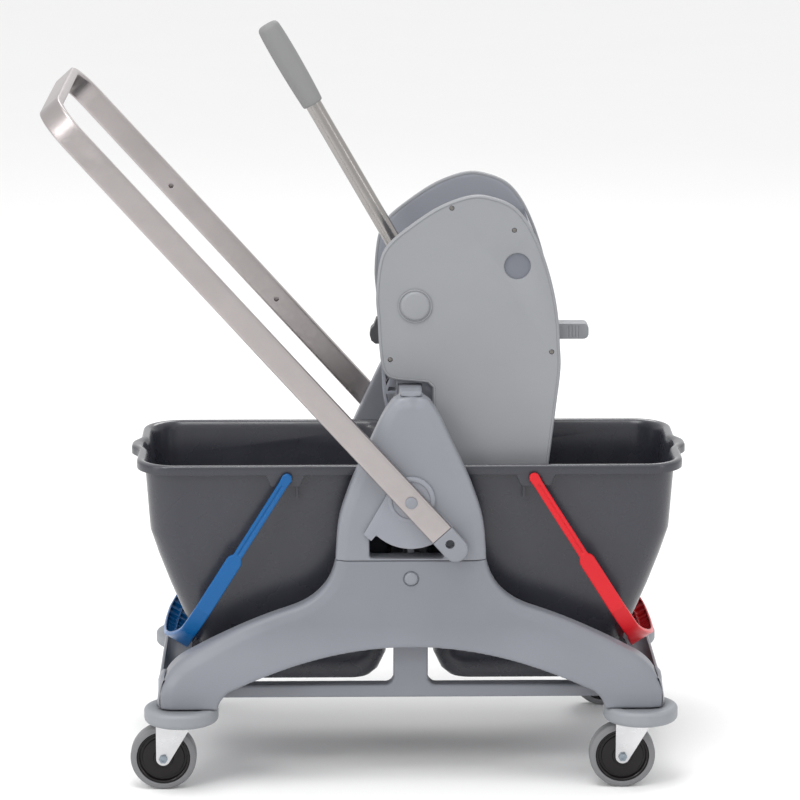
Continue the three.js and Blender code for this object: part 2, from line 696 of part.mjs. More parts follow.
// hooked foot that stands on the tower's peg, lightened by three-cornered windows
function foot() {
  const outline = polygon([
    [-35, 512], [-33, 470], [-26, 430], [-PEG_HALF - 1, 430], [-PEG_HALF - 1, PEG_TOP_Z + GAP],
    [PEG_HALF + 1, PEG_TOP_Z + GAP], [PEG_HALF + 1, 450], [BULKHEAD_X + 3, 440], [BULKHEAD_X + 3, 512],
  ]);
  const windows = [
    [[-30, 500], [-29, 478], [-19, 500]], [[-16.5, 496], [-27.5, 472], [-16.5, 472]],
    [[-27, 468], [-24, 447], [-18, 468]],
  ];
  const block = alongY(outline, -FOOT_OUTER_Y, -60);
  return cut(block, ...windows.map((points) => alongY(polygon(points), -CASE_Y, -59)));
}

function casing() {
  const outline = coverOutline();
  const shell = alongY(polygon(inset(outline, 3 + GAP)), -CASE_Y, CASE_Y);
  const room = alongY(polygon(inset(outline, 7)), -CASE_INNER_Y, CASE_INNER_Y);
  const mouthOutline = [[-60, 514], [60, 514], [146, 660], [146, 760], [-60, 760]];
  const mouth = alongY(polygon(mouthOutline), -CASE_INNER_Y, CASE_INNER_Y);
  const feet = [foot(), mirrored(foot(), 'y')];
  const shaftHole = rodY(SHAFT_RADIUS + 0.4, -100, 100, SHAFT_X, SHAFT_Z);
  const latchSlot = box(150, 200, -12.8, 12.8, 520.2, 540.8);
  const drain = box(60, 140, -6, 6, WRINGER_BOTTOM_Z - 5, WRINGER_BOTTOM_Z + 12);
  const drains = [-56, -28, 0, 28, 56].map((y) => drain.clone().translate(0, y, 0));
  const body = cut(shell, room, mouth, shaftHole, latchSlot, ...drains);
  return joined(body, ...feet);
}

add('wringer_casing', casing(), innerGrey, wringer);

// slotted plate that the mop is pressed against
const slots = [];
for (let z = 375; z < 600; z += 28) {
  for (const y of [-40, 40]) {
    slots.push(box(DRAIN_PLATE_X - 1, DRAIN_PLATE_X + 5, y - 30, y + 30, z, z + 8));
  }
}
const drainPlate = box(DRAIN_PLATE_X, DRAIN_PLATE_X + 4, -CASE_INNER_Y + GAP, CASE_INNER_Y - GAP, 353, 620);
add('drain_plate', cut(drainPlate, ...slots), innerGrey, wringer);

addPair('guide_rod', rodX(ROD_RADIUS, BULKHEAD_X + 7.3, DRAIN_PLATE_X - GAP, -ROD_Y, ROD_Z), steel, wringer);

const bearingCap = turned([[0, -4], [16, -4], [20.5, -2], [20.5, 0], [0, 0]], 24);
addPair('bearing_cap', bearingCap.clone().translate(SHAFT_X, -COVER_Y - GAP, SHAFT_Z), coverGrey, wringer);

// ribbed thumb latch in the end wall
const latchShape = polygon([
  [166, 525], [183, 525], [183, 521], [215, 521], [221, 526], [221, 535], [215, 540],
  [183, 540], [183, 536], [166, 536],
]);
const grooves = [196, 203, 210].map((x) => joined(
  box(x, x + 3, -20, -10.8, 510, 550), box(x, x + 3, 10.8, 20, 510, 550)));
const latchBody = alongY(latchShape, -12, 12);
add('release_latch', grooves.reduce((rest, tool) => cut(rest, tool), latchBody), coverGrey, wringer);

// ---------------------------------------------------------------- press plate and rack

function pressPlate() {
  const plate = box(PRESS_X, PRESS_X + PRESS_THICK, -CASE_INNER_Y + 1, CASE_INNER_Y - 1, 356, 640);
  const rib = box(PRESS_X + 3, PRESS_X + PRESS_THICK + 5, -3, 3, 366, 630);
  const ribs = [-66, -33, 0, 33, 66].map((y) => rib.clone().translate(0, y, 0));
  const holes = [-ROD_Y, ROD_Y].map((y) => rodX(ROD_RADIUS + 0.5, PRESS_X - 1, PRESS_X + 12, y, ROD_Z));
  return cut(joined(plate, ...ribs), ...holes);
}

add('press_plate', pressPlate(), innerGrey, wringer);

// rack with its pitch line under the shaft; a gap between two teeth lies straight below the shaft
function rack() {
  const pitch = Math.PI * MODULE;
  const pitchZ = SHAFT_Z - PITCH_RADIUS;
  const halfTip = pitch / 4 - ADDENDUM * Math.tan(PRESSURE_ANGLE) - BACKLASH / 4;
  const halfRoot = pitch / 4 + DEDENDUM * Math.tan(PRESSURE_ANGLE) - BACKLASH / 4;
  const rootZ = pitchZ - DEDENDUM;
  const points = [
    [PRESS_X - GAP, rootZ], [PRESS_X - GAP, RACK_BOTTOM_Z], [RACK_END_X, RACK_BOTTOM_Z], [RACK_END_X, rootZ],
  ];
  for (let tooth = -4; tooth <= 1; tooth += 1) {
    const x = SHAFT_X + (tooth + 0.5) * pitch;
    points.push([x - halfRoot, rootZ], [x - halfTip, pitchZ + ADDENDUM]);
    points.push([x + halfTip, pitchZ + ADDENDUM], [x + halfRoot, rootZ]);
  }
  return alongY(polygon(points), -GEAR_HALF_WIDTH, GEAR_HALF_WIDTH);
}

add('press_rack', rack(), innerGrey, wringer);

// ---------------------------------------------------------------- lever

function involute(radius) {
  const angle = Math.acos(Math.min(1, PITCH_RADIUS * Math.cos(PRESSURE_ANGLE) / radius));
  return Math.tan(angle) - angle;
}

// a sector of a spur gear about the origin; one tooth points straight down
function gearSector() {
  const root = PITCH_RADIUS - DEDENDUM;
  const tip = PITCH_RADIUS + ADDENDUM;
  const base = PITCH_RADIUS * Math.cos(PRESSURE_ANGLE);
  const halfPitch = Math.PI / (2 * TEETH) + involute(PITCH_RADIUS) - BACKLASH / (4 * PITCH_RADIUS);
  const halfAt = (radius) => halfPitch - involute(radius);
  const points = [[0, 0]];
  for (let tooth = -5; tooth <= 1; tooth += 1) {
    const middle = -Math.PI / 2 + tooth * 2 * Math.PI / TEETH;
    const flank = [
      [root, halfAt(base)], [base, halfAt(base)], [PITCH_RADIUS, halfAt(PITCH_RADIUS)], [tip, halfAt(tip)],
    ];
    for (const [r, half] of flank) {
      points.push([r * Math.cos(middle - half), r * Math.sin(middle - half)]);
    }
    for (const [r, half] of flank.reverse()) {
      points.push([r * Math.cos(middle + half), r * Math.sin(middle + half)]);
    }
  }
  return alongY(polygon(points), -GEAR_HALF_WIDTH, GEAR_HALF_WIDTH);
}

// a round piece along the lever's axis; profile points are [radius, distance from the shaft]
function leverTurned(profile, sides) {
  const geometry = turnedZ(profile, sides);
  geometry.translate(LEVER_OFFSET, 0, 0);
  geometry.rotateY(-LEVER_ANGLE * Math.PI / 180);
  return geometry;
}

function leverHub() {
  const boss = rodY(18, -13, 13, 0, 0, 20);
  const socket = leverTurned([[0, 0], [13.5, 0], [13.5, 60], [0, 60]], 16);
  const holeRadius = LEVER_TUBE_RADIUS + GAP;
  const tubeHole = leverTurned([[0, 20], [holeRadius, 20], [holeRadius, 70], [0, 70]], 16);
  const bore = rodY(SHAFT_RADIUS + GAP, -20, 20, 0, 0, 16);
  return cut(joined(boss, gearSector(), socket), tubeHole, bore);
}

const lever = new THREE.Group();
lever.position.set(SHAFT_X, 0, SHAFT_Z);
wringer.add(lever);
add('lever_shaft', rodY(SHAFT_RADIUS, -CASE_Y, CASE_Y), steel, lever);
add('lever_hub', leverHub(), innerGrey, lever);

const tubeInner = LEVER_TUBE_RADIUS - LEVER_WALL;
const tubeTop = LEVER_LENGTH - 10;
add('lever_tube', leverTurned([
  [tubeInner, 20.5], [LEVER_TUBE_RADIUS, 20.5], [LEVER_TUBE_RADIUS, tubeTop], [tubeInner, tubeTop],
  [tubeInner, 20.5],
], 16), steel, lever);

const gripBottom = LEVER_LENGTH - GRIP_LENGTH;
add('lever_grip', leverTurned([
  [LEVER_TUBE_RADIUS + GAP, gripBottom], [13, gripBottom], [14.6, gripBottom + 35], [14.8, gripBottom + 75],
  [14, LEVER_LENGTH - 3], [11, LEVER_LENGTH], [0, LEVER_LENGTH], [0, tubeTop + GAP],
  [LEVER_TUBE_RADIUS + GAP, tubeTop + GAP], [LEVER_TUBE_RADIUS + GAP, gripBottom],
], 16), gripGrey, lever);

// return spring wound on the shaft beside the hub
class Helix extends THREE.Curve {
  getPoint(t) {
    const a = t * 4 * 2 * Math.PI;
    return new THREE.Vector3(10 * Math.cos(a), 19 + 18 * t, 10 * Math.sin(a));
  }
}

const wire = new THREE.Shape();
wire.absarc(0, 0, 1.3, 0, 2 * Math.PI, false);
add('return_spring', new THREE.ExtrudeGeometry(wire, {
  steps: 44, extrudePath: new Helix(), curveSegments: 3,
}), steel, lever);

// ---------------------------------------------------------------- place the origin

const bounds = new THREE.Box3().setFromObject(trolley, true);
trolley.position.x = -(bounds.min.x + bounds.max.x) / 2;

export default trolley;
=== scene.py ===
"""Mopping trolley with two buckets and a press wringer: the looks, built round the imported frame.

Lengths inside the functions are millimetres about the centre of the chassis, X along the
trolley and Z up; make() turns them into metres in the frame of the CAD model.
"""

import json
import math

import bmesh
import bpy
import numpy as np
from mathutils import Matrix, Vector


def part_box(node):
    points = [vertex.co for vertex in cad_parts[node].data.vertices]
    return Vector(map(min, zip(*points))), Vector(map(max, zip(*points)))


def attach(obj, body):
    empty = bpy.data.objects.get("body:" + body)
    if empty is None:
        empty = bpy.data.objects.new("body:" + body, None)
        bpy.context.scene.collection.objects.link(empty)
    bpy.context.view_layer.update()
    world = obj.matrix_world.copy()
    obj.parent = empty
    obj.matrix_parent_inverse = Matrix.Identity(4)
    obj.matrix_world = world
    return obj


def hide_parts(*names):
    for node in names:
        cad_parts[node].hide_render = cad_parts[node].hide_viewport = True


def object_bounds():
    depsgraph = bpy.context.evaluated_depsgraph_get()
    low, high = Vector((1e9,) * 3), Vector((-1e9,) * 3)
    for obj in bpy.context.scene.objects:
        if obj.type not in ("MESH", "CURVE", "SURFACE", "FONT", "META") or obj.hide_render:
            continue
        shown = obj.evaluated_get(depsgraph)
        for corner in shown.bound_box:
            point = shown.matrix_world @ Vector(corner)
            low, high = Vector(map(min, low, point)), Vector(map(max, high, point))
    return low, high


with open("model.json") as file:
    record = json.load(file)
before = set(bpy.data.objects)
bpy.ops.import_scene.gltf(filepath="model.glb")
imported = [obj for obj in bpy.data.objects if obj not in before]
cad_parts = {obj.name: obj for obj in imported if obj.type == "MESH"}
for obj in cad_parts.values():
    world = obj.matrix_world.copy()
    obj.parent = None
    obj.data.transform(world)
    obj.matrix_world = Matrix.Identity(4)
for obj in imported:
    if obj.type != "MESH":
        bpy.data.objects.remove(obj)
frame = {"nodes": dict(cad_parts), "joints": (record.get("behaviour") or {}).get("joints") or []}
cad_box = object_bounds()

MM = 0.001
SIDES = (("near", -1), ("far", 1))
ENDS = (("left", -1), ("right", 1))
CENTRE_X = (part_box("tower_near")[0].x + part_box("tower_near")[1].x) / 2 / MM


def span(node):
    """A node's lowest and highest corners, in millimetres about the chassis centre."""
    low, high = (Vector(corner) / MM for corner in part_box(node))
    shift = Vector((CENTRE_X, 0, 0))
    return low - shift, high - shift


def joint_point(name):
    joint = next(j for j in frame["joints"] if j["name"] == name)
    return Vector(joint["pos_m"]) / MM - Vector((CENTRE_X, 0, 0))


# ---- outlines


def rectangle(left, bottom, right, top):
    return [(left, bottom), (right, bottom), (right, top), (left, top)]


def quad_curve(start, control, end, steps=14):
    """Points after start on a quadratic curve."""
    found = []
    for i in range(1, steps + 1):
        t = i / steps
        a, b, c = (1 - t) ** 2, 2 * t * (1 - t), t * t
        found.append((a * start[0] + b * control[0] + c * end[0], a * start[1] + b * control[1] + c * end[1]))
    return found


def arc(x, z, radius, first, last, steps=16):
    """Points on a circle, angles in degrees."""
    turns = [math.radians(first + (last - first) * i / steps) for i in range(steps + 1)]
    return [(x + radius * math.cos(a), z + radius * math.sin(a)) for a in turns]


def rounded(points, radius, steps=5):
    """The outline with each corner replaced by an arc-like curve."""
    found = []
    for i, point in enumerate(points):
        corner = Vector(point)
        before, after = Vector(points[i - 1]), Vector(points[(i + 1) % len(points)])
        reach = min(radius, (before - corner).length * 0.45, (after - corner).length * 0.45)
        start = corner + (before - corner).normalized() * reach
        end = corner + (after - corner).normalized() * reach
        found.append(tuple(start))
        found += quad_curve(start, corner, end, steps)
    return found


def spline(points, steps=8):
    """A Catmull-Rom curve through the points."""
    last = len(points) - 1
    found = []
    for i in range(last):
        p = [Vector(points[min(max(i + k, 0), last)]) for k in (-1, 0, 1, 2)]
        for j in range(steps):
            t = j / steps
            found.append(tuple(0.5 * (2 * p[1] + (p[2] - p[0]) * t
                                      + (2 * p[0] - 5 * p[1] + 4 * p[2] - p[3]) * t * t
                                      + (3 * p[1] - p[0] - 3 * p[2] + p[3]) * t ** 3)))
    return [*found, tuple(points[-1])]


def inset(points, distance):
    """A counter-clockwise outline moved inwards, corner by corner."""
    found = []
    for i, point in enumerate(points):
        before, after = points[i - 1], points[(i + 1) % len(points)]
        a = Vector((point[0] - before[0], point[1] - before[1])).normalized()
        b = Vector((after[0] - point[0], after[1] - point[1])).normalized()
        normal = Vector((-a.y - b.y, a.x + b.x)).normalized()
        reach = distance / max(0.5, -a.y * normal.x + a.x * normal.y)
        found.append((point[0] + normal.x * reach, point[1] + normal.y * reach))
    return found


# ---- meshes


def placed_in_scene(name, data):
    obj = bpy.data.objects.new(name, data)
    bpy.context.scene.collection.objects.link(obj)
    return obj


def make(name, points, faces):
    """A mesh object from points in millimetres about the chassis centre."""
    mesh = bpy.data.meshes.new(name)
    mesh.from_pydata([((p[0] + CENTRE_X) * MM, p[1] * MM, p[2] * MM) for p in points], [], faces)
    built = bmesh.new()
    built.from_mesh(mesh)
    bmesh.ops.remove_doubles(built, verts=built.verts, dist=1e-7)
    bmesh.ops.recalc_face_normals(built, faces=built.faces)
    built.to_mesh(mesh)
    built.free()
    return placed_in_scene(name, mesh)


def lofted(name, rings, closed=False):
    """A skin over rings with equal numbers of points, capped at its ends unless it closes on itself."""
    count = len(rings[0])
    points = [p for ring in rings for p in ring]
    faces = []
    for r in range(len(rings) if closed else len(rings) - 1):
        a, b = r * count, (r + 1) % len(rings) * count
        faces += [(a + i, a + (i + 1) % count, b + (i + 1) % count, b + i) for i in range(count)]
    if not closed:
        faces.append(tuple(reversed(range(count))))
        faces.append(tuple(range(len(points) - count, len(points))))
    return make(name, points, faces)


def prism(name, outline, axis, low, high):
    """An outline given thickness along an axis: outlines for y are (x, z), for z (x, y)."""
    placed = {"y": lambda u, v, w: (u, w, v), "z": lambda u, v, w: (u, v, w)}[axis]
    return lofted(name, [[placed(u, v, w) for u, v in outline] for w in (low, high)])


def across(sign, inner, outer):
    """A stretch across the trolley on one side of its middle, lowest first."""
    return sorted((sign * inner, sign * outer))


def block(name, low, high):
    return prism(name, rectangle(*low[:2], *high[:2]), "z", low[2], high[2])


def turned(name, profile, centre, axis, steps=64):
    """A turned piece; profile points are (radius, distance along the axis) and close on themselves."""
    axis = Vector(axis).normalized()
    first = axis.orthogonal().normalized()
    second = axis.cross(first)
    rings = []
    for i in range(steps):
        a = 2 * math.pi * i / steps
        out = first * math.cos(a) + second * math.sin(a)
        rings.append([tuple(Vector(centre) + out * r + axis * s) for r, s in profile])
    return lofted(name, rings, closed=True)


def baked(obj):
    """Applies an object's modifiers."""
    bpy.context.view_layer.update()
    graph = bpy.context.evaluated_depsgraph_get()
    mesh = bpy.data.meshes.new_from_object(obj.evaluated_get(graph))
    obj.modifiers.clear()
    old, obj.data = obj.data, mesh
    bpy.data.meshes.remove(old)
    return obj


def combined(obj, tools, operation="DIFFERENCE"):
    """Cuts the tools out of obj, or joins them to it, and removes them."""
    for tool in tools:
        boolean = obj.modifiers.new("join_or_cut", "BOOLEAN")
        boolean.operation = operation
        boolean.solver = "EXACT"
        boolean.object = tool
        baked(obj)
        bpy.data.objects.remove(tool)
    return obj


def remeshed(obj, voxel):
    """One even skin over everything in obj."""
    remesh = obj.modifiers.new("remesh", "REMESH")
    remesh.mode = "VOXEL"
    remesh.voxel_size = voxel * MM
    return baked(obj)


def smoothed(obj, rounds):
    """Eases the corners of an even skin."""
    smooth = obj.modifiers.new("ease", "SMOOTH")
    smooth.factor = 0.5
    smooth.iterations = rounds
    return baked(obj)


def merged(obj, others):
    """Puts other objects' meshes into obj without cutting them."""
    built = bmesh.new()
    for part in [obj, *others]:
        built.from_mesh(part.data)
    built.to_mesh(obj.data)
    built.free()
    for part in others:
        bpy.data.objects.remove(part)
    return obj


def mirror_copy(obj, name, axis):
    """A copy mirrored across the middle of the chassis, along x or y."""
    mesh = obj.data.copy()
    if axis == "x":
        flip = Matrix.Translation((2 * CENTRE_X * MM, 0, 0)) @ Matrix.Scale(-1, 4, (1, 0, 0))
    else:
        flip = Matrix.Scale(-1, 4, (0, 1, 0))
    mesh.transform(flip)
    mesh.flip_normals()
    return placed_in_scene(name, mesh)


def eased(obj, width, segments=3, angle=32):
    """Rounded edges."""
    bevel = obj.modifiers.new("edges", "BEVEL")
    bevel.width = width * MM
    bevel.segments = segments
    bevel.limit_method = "ANGLE"
    bevel.angle_limit = math.radians(angle)
    return obj


def filed(obj, width, segments=3, angle=32):
    """Rounded edges, applied to the mesh."""
    return baked(eased(obj, width, segments, angle))


def shaded(obj, angle=35):
    """Smooth shading that keeps sharp edges sharp."""
    mesh = obj.data
    built = bmesh.new()
    built.from_mesh(mesh)
    for edge in built.edges:
        edge.smooth = len(edge.link_faces) == 2 and edge.calc_face_angle(0) < math.radians(angle)
    for face in built.faces:
        face.smooth = True
    built.to_mesh(mesh)
    built.free()
    return obj


def piece(obj, material, body, slot, *nodes):
    """Gives a finished piece its material and body and hides the CAD nodes it stands for; its slot is not used."""
    shaded(obj)
    obj.data.materials.clear()
    obj.data.materials.append(material)
    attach(obj, body)
    if nodes:
        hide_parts(*nodes)
    return obj


# ---- materials


CLOUD_SCALE = 9  # noise scales, per metre
SHEEN_SCALE = 26
STAIN_SCALE = 14
NOISE_RANGE = 0.3, 0.7  # the part of a noise's values that is used
# how much lighter the painted highlight band at the bucket's rim is, and how rough that band is
PAINTED_HIGHLIGHT_LIFT = 0.045
HIGHLIGHT_BAND_ROUGHNESS = 0.12


class Nodes:
    """A short way to write a node material in object coordinates."""

    def __init__(self, name):
        self.material = bpy.data.materials.new(name)
        self.material.use_nodes = True
        self.tree = self.material.node_tree
        self.shader = self.tree.nodes["Principled BSDF"]
        self.place = self.add("ShaderNodeTexCoord").outputs["Object"]

    def add(self, kind, **values):
        node = self.tree.nodes.new(kind)
        for key, value in values.items():
            setattr(node, key, value)
        return node

    def link(self, start, end):
        self.tree.links.new(start, end)

    def noise(self, scale, detail=3, stretch=None):
        noise = self.add("ShaderNodeTexNoise")
        noise.inputs["Scale"].default_value = scale
        noise.inputs["Detail"].default_value = detail
        place = self.place
        if stretch:
            mapping = self.add("ShaderNodeMapping")
            mapping.inputs["Scale"].default_value = stretch
            self.link(place, mapping.inputs["Vector"])
            place = mapping.outputs["Vector"]
        self.link(place, noise.inputs["Vector"])
        return noise.outputs["Fac"]

    def ramp(self, value, low, high):
        ramp = self.add("ShaderNodeValToRGB")
        for element, position, color in zip(ramp.color_ramp.elements, NOISE_RANGE, (low, high)):
            element.position = position
            element.color = (*color, 1)
        self.link(value, ramp.inputs["Fac"])
        return ramp.outputs["Color"]

    def spread(self, value, low, high, source=NOISE_RANGE):
        """Maps the source's range onto another."""
        ranged = self.add("ShaderNodeMapRange")
        for socket, number in zip(("From Min", "From Max", "To Min", "To Max"), (*source, low, high)):
            ranged.inputs[socket].default_value = number
        self.link(value, ranged.inputs["Value"])
        return ranged.outputs["Result"]

    def above(self, start, end):
        """Rises from 0 to 1 between two heights in metres."""
        split = self.add("ShaderNodeSeparateXYZ")
        self.link(self.place, split.inputs["Vector"])
        return self.spread(split.outputs["Z"], 0, 1, (start, end))

    def mixed(self, share, first, second):
        """From a first output to a second, constant colour or number."""
        kind = "Color" if isinstance(second, list) else "Float"
        mix = self.add("ShaderNodeMix", data_type="RGBA" if kind == "Color" else "FLOAT")
        sockets = {socket.identifier: socket for socket in (*mix.inputs, *mix.outputs)}
        self.link(share, sockets["Factor_Float"])
        self.link(first, sockets[f"A_{kind}"])
        sockets[f"B_{kind}"].default_value = (*second, 1) if kind == "Color" else second
        return sockets[f"Result_{kind}"]

    def bump(self, height, distance, strength=0.5):
        bump = self.add("ShaderNodeBump")
        bump.inputs["Distance"].default_value = distance
        bump.inputs["Strength"].default_value = strength
        self.link(height, bump.inputs["Height"])
        self.link(bump.outputs["Normal"], self.shader.inputs["Normal"])


def shades(color, variation):
    """A colour made a little darker and a little lighter."""
    return [c * (1 - variation) for c in color], [min(1, c * (1 + variation)) for c in color]


def plastic(name, color, roughness, grain_size=900, grain=0.00003, specular=0.5, variation=0.035, highlight_heights=None):
    """Moulded plastic: cloudy colour, uneven sheen and a fine grain, or a slow waviness at a low grain size.

    Between two given heights the colour is painted lighter, a painted highlight, and the surface is made smoother.
    """
    made = Nodes(name)
    tint = made.ramp(made.noise(CLOUD_SCALE, 4), *shades(color, variation))
    sheen = made.spread(made.noise(SHEEN_SCALE, 5), roughness - 0.04, roughness + 0.05)
    if highlight_heights:
        # painted highlight: a level band is lifted lighter and made smoother
        highlight_share = made.above(*highlight_heights)
        tint = made.mixed(highlight_share, tint, [c + PAINTED_HIGHLIGHT_LIFT for c in color])
        sheen = made.mixed(highlight_share, sheen, HIGHLIGHT_BAND_ROUGHNESS)
    made.link(tint, made.shader.inputs["Base Color"])
    made.link(sheen, made.shader.inputs["Roughness"])
    made.shader.inputs["Specular IOR Level"].default_value = specular
    made.bump(made.noise(grain_size, 2), grain)
    return made.material


def metal(name, color, roughness, stretch, scale=60, brush=0.00002, variation=0.05):
    """Metal with a fine drawn or brushed texture along one direction."""
    made = Nodes(name)
    lines = made.noise(scale, 4, stretch)
    tint = made.ramp(made.noise(STAIN_SCALE, 3), *shades(color, variation))
    made.link(tint, made.shader.inputs["Base Color"])
    made.link(made.spread(lines, roughness - 0.06, roughness + 0.08), made.shader.inputs["Roughness"])
    made.shader.inputs["Metallic"].default_value = 1.0
    made.bump(lines, brush, 0.4)
    return made.material


frame_plastic = plastic("frame_plastic", (0.198, 0.207, 0.232), 0.42)
# A darker copy of the frame plastic for the side frames and end walls: painted shade.
painted_shade_arch_plastic = plastic("painted_shade_arch_plastic", (0.171, 0.179, 0.203), 0.42)
ring_plastic = plastic("ring_plastic", (0.225, 0.237, 0.255), 0.5)
cover_plastic = plastic("cover_plastic", (0.225, 0.232, 0.246), 0.44, grain_size=1300, grain=0.00004)
# Lighter than the frame plastic to lift the shaded inside of the wringer: painted light over the plastic's own
# bluish grey.
inner_plastic = plastic("inner_plastic", (0.228, 0.236, 0.269), 0.46)
# The band at the top of the bucket's rim is a painted highlight.
bucket_plastic = plastic("bucket_plastic", (0.029, 0.030, 0.039), 0.27, grain_size=14, grain=0.00025,
                         variation=0.03, highlight_heights=(0.3872, 0.3895))
recess_plastic = plastic("recess_plastic", (0.130, 0.139, 0.164), 0.4)
# Near black, painted shade: the rack sits in the shadow between the covers.
painted_shade_rack_plastic = plastic("painted_shade_rack_plastic", (0.045, 0.045, 0.050), 0.4)
glossy = {"grain_size": 60, "grain": 0.0002, "specular": 0.32}
blue_plastic = plastic("blue_plastic", (0.000, 0.083, 0.256), 0.3, **glossy)
red_plastic = plastic("red_plastic", (0.546, 0.007, 0.014), 0.3, **glossy)
grip_rubber = plastic("grip_rubber", (0.185, 0.187, 0.186), 0.62, grain_size=1500, grain=0.00008)
tyre_rubber = plastic("tyre_rubber", (0.160, 0.161, 0.168), 0.55, grain_size=700, grain=0.00006)
hub_plastic = plastic("hub_plastic", (0.006, 0.0045, 0.005), 0.24, grain_size=80, grain=0.0001, specular=0.28,
                      variation=0.15)
anodised = metal("anodised_aluminium", (0.40, 0.368, 0.366), 0.36, (1, 9, 1), 180, 0.00001)
bright_steel = metal("bright_steel", (0.315, 0.302, 0.292), 0.24, (1, 1, 1), 35, 0.000002, 0.03)
zinc_plate = metal("zinc_plate", (0.60, 0.60, 0.61), 0.30, (1, 1, 3), 60, 0.00004, 0.14)
bolt_zinc = metal("bolt_zinc", (0.25, 0.29, 0.33), 0.28, (1, 1, 1), 200)
screw_steel = metal("screw_steel", (0.20, 0.19, 0.18), 0.4, (1, 1, 1), 300)


# ---- chassis

FACE_Y = -span("tower_near")[0].y
FRAME_INNER_Y = 140
FOOT_Z = span("side_frame_near")[0].z
SEAM_Z = span("side_frame_near")[1].z
TOWER_TOP_Z = span("tower_near")[1].z
TOWER_HALF_BASE = span("tower_near")[1].x
TOWER_INNER_Y = 135
PEG_TOP_Z = 481
TOE_X = span("side_frame_near")[1].x
HEEL_X = 233
FOOT_FLARE = 30
PLUG_Z = (span("frame_plug_near")[0].z + span("frame_plug_near")[1].z) / 2
FRAME_VOXEL = 1.7
FRAME_EASE = 5  # rounds of smoothing
# name, half width, bottom, top and corner radius
RAIL = "rail", 235, 103, 119, 2
POST = "post", 21, 112, 205, 3
RAIL_DEPTH = -142, -124
FLARE_Z = 118, 200  # heights between which the feet swing back into the frame's face
WALL_OUTER_X = span("end_beam_right")[1].x
WALL_LOW_Z = span("end_beam_right")[0].z
WALL_TOP_Z = 118
WALL_RISE = 24
WALL_END_Y = 185
WALL_LEAN = (120, 132, 142, 150), (0, 2.8, 7.2, 13)  # heights, and how far the feet are rounded inwards there
FLOOR_INNER_X = 226
FLOOR_TOP_Z = 106


def arch_edges():
    """The upper and the lower edge of a side frame, each from left to right."""
    upper = [(TOE_X, FOOT_Z), (TOE_X, 122)]
    upper += quad_curve(upper[-1], (298, 149), (273, 163))
    upper += quad_curve(upper[-1], (205, 200), (150, 218))
    upper += quad_curve(upper[-1], (98, 234), (TOWER_HALF_BASE, SEAM_Z))
    lower = [(HEEL_X, FOOT_Z)]
    lower += quad_curve(lower[-1], (232, 113.5), (220, 123.5), 8)
    lower += quad_curve(lower[-1], (0, 222.5), (-220, 123.5), 40)
    lower += quad_curve(lower[-1], (-232, 113.5), (-HEEL_X, FOOT_Z), 8)
    left = [(-x, z) for x, z in upper]
    return left, upper[::-1], lower


def edge_distance(x, z, line):
    """How far each point (x, z) lies from an open line."""
    nearest = np.full(len(x), 1e9)
    for (ax, az), (bx, bz) in zip(line, line[1:]):
        dx, dz = bx - ax, bz - az
        t = np.clip(((x - ax) * dx + (z - az) * dz) / (dx * dx + dz * dz), 0, 1)
        nearest = np.minimum(nearest, np.hypot(x - ax - t * dx, z - az - t * dz))
    return nearest


def banded(distance, width, drop, radius):
    """How far a sloping edge band with a rounded outer corner falls away at a distance from the outline."""
    slope = drop * np.clip(1 - distance / width, 0, 1)
    inside = np.clip(radius - distance, 0, radius)
    return slope + radius - np.sqrt(radius * radius - inside * inside)


def thickened(obj, inner_y, outer_y, extra):
    """Moves the skin between two depths of the front side, so that it ends extra(x, z) further out."""
    mesh = obj.data
    points = np.empty(len(mesh.vertices) * 3)
    mesh.vertices.foreach_get("co", points)
    points = points.reshape(-1, 3)
    x, y, z = points[:, 0] / MM - CENTRE_X, points[:, 1] / MM, points[:, 2] / MM
    share = np.clip((-y - inner_y) / (outer_y - inner_y), 0, 1)
    points[:, 1] = (y - share * extra(x, z)) * MM
    mesh.vertices.foreach_set("co", points.ravel())
    mesh.update()


def side_frame():
    left, right, lower = arch_edges()
    arch = prism("arch", left + right + lower, "y", -FACE_Y, -FRAME_INNER_Y)
    parts = [prism(name, rounded(rectangle(-half, low, half, top), radius), "y", *RAIL_DEPTH)
             for name, half, low, top, radius in (RAIL, POST)]
    for sign in (-1, 1):
        fillet = [(sign * 20, 118), (sign * 34, 118)]
        fillet += quad_curve((sign * 34, 118), (sign * 21, 119), (sign * 20, 132), 8)
        parts.append(prism("fillet", fillet if sign > 0 else fillet[::-1], "y", *RAIL_DEPTH))
    obj = remeshed(merged(arch, parts), FRAME_VOXEL)

    def extra(x, z):
        t = np.clip((z - FLARE_Z[0]) / (FLARE_Z[1] - FLARE_Z[0]), 0, 1)
        flare = (FOOT_FLARE - 0.5) * (1 - t * t * (3 - 2 * t))
        upper = np.minimum(edge_distance(x, z, left), edge_distance(x, z, right))
        upper_edge = banded(upper, width=14, drop=4.4, radius=5)
        lower_edge = banded(edge_distance(x, z, lower), width=4, drop=0.3, radius=3.5)
        return flare - upper_edge - lower_edge

    thickened(obj, FRAME_INNER_Y, FACE_Y, extra)
    smoothed(obj, FRAME_EASE)
    ring = [(8.05, -1.2), (9.4, -1.2), (9.9, 1), (8.05, 1)]
    return combined(obj, [turned("ring", ring, (0, -FACE_Y, PLUG_Z), (0, -1, 0), 48)])


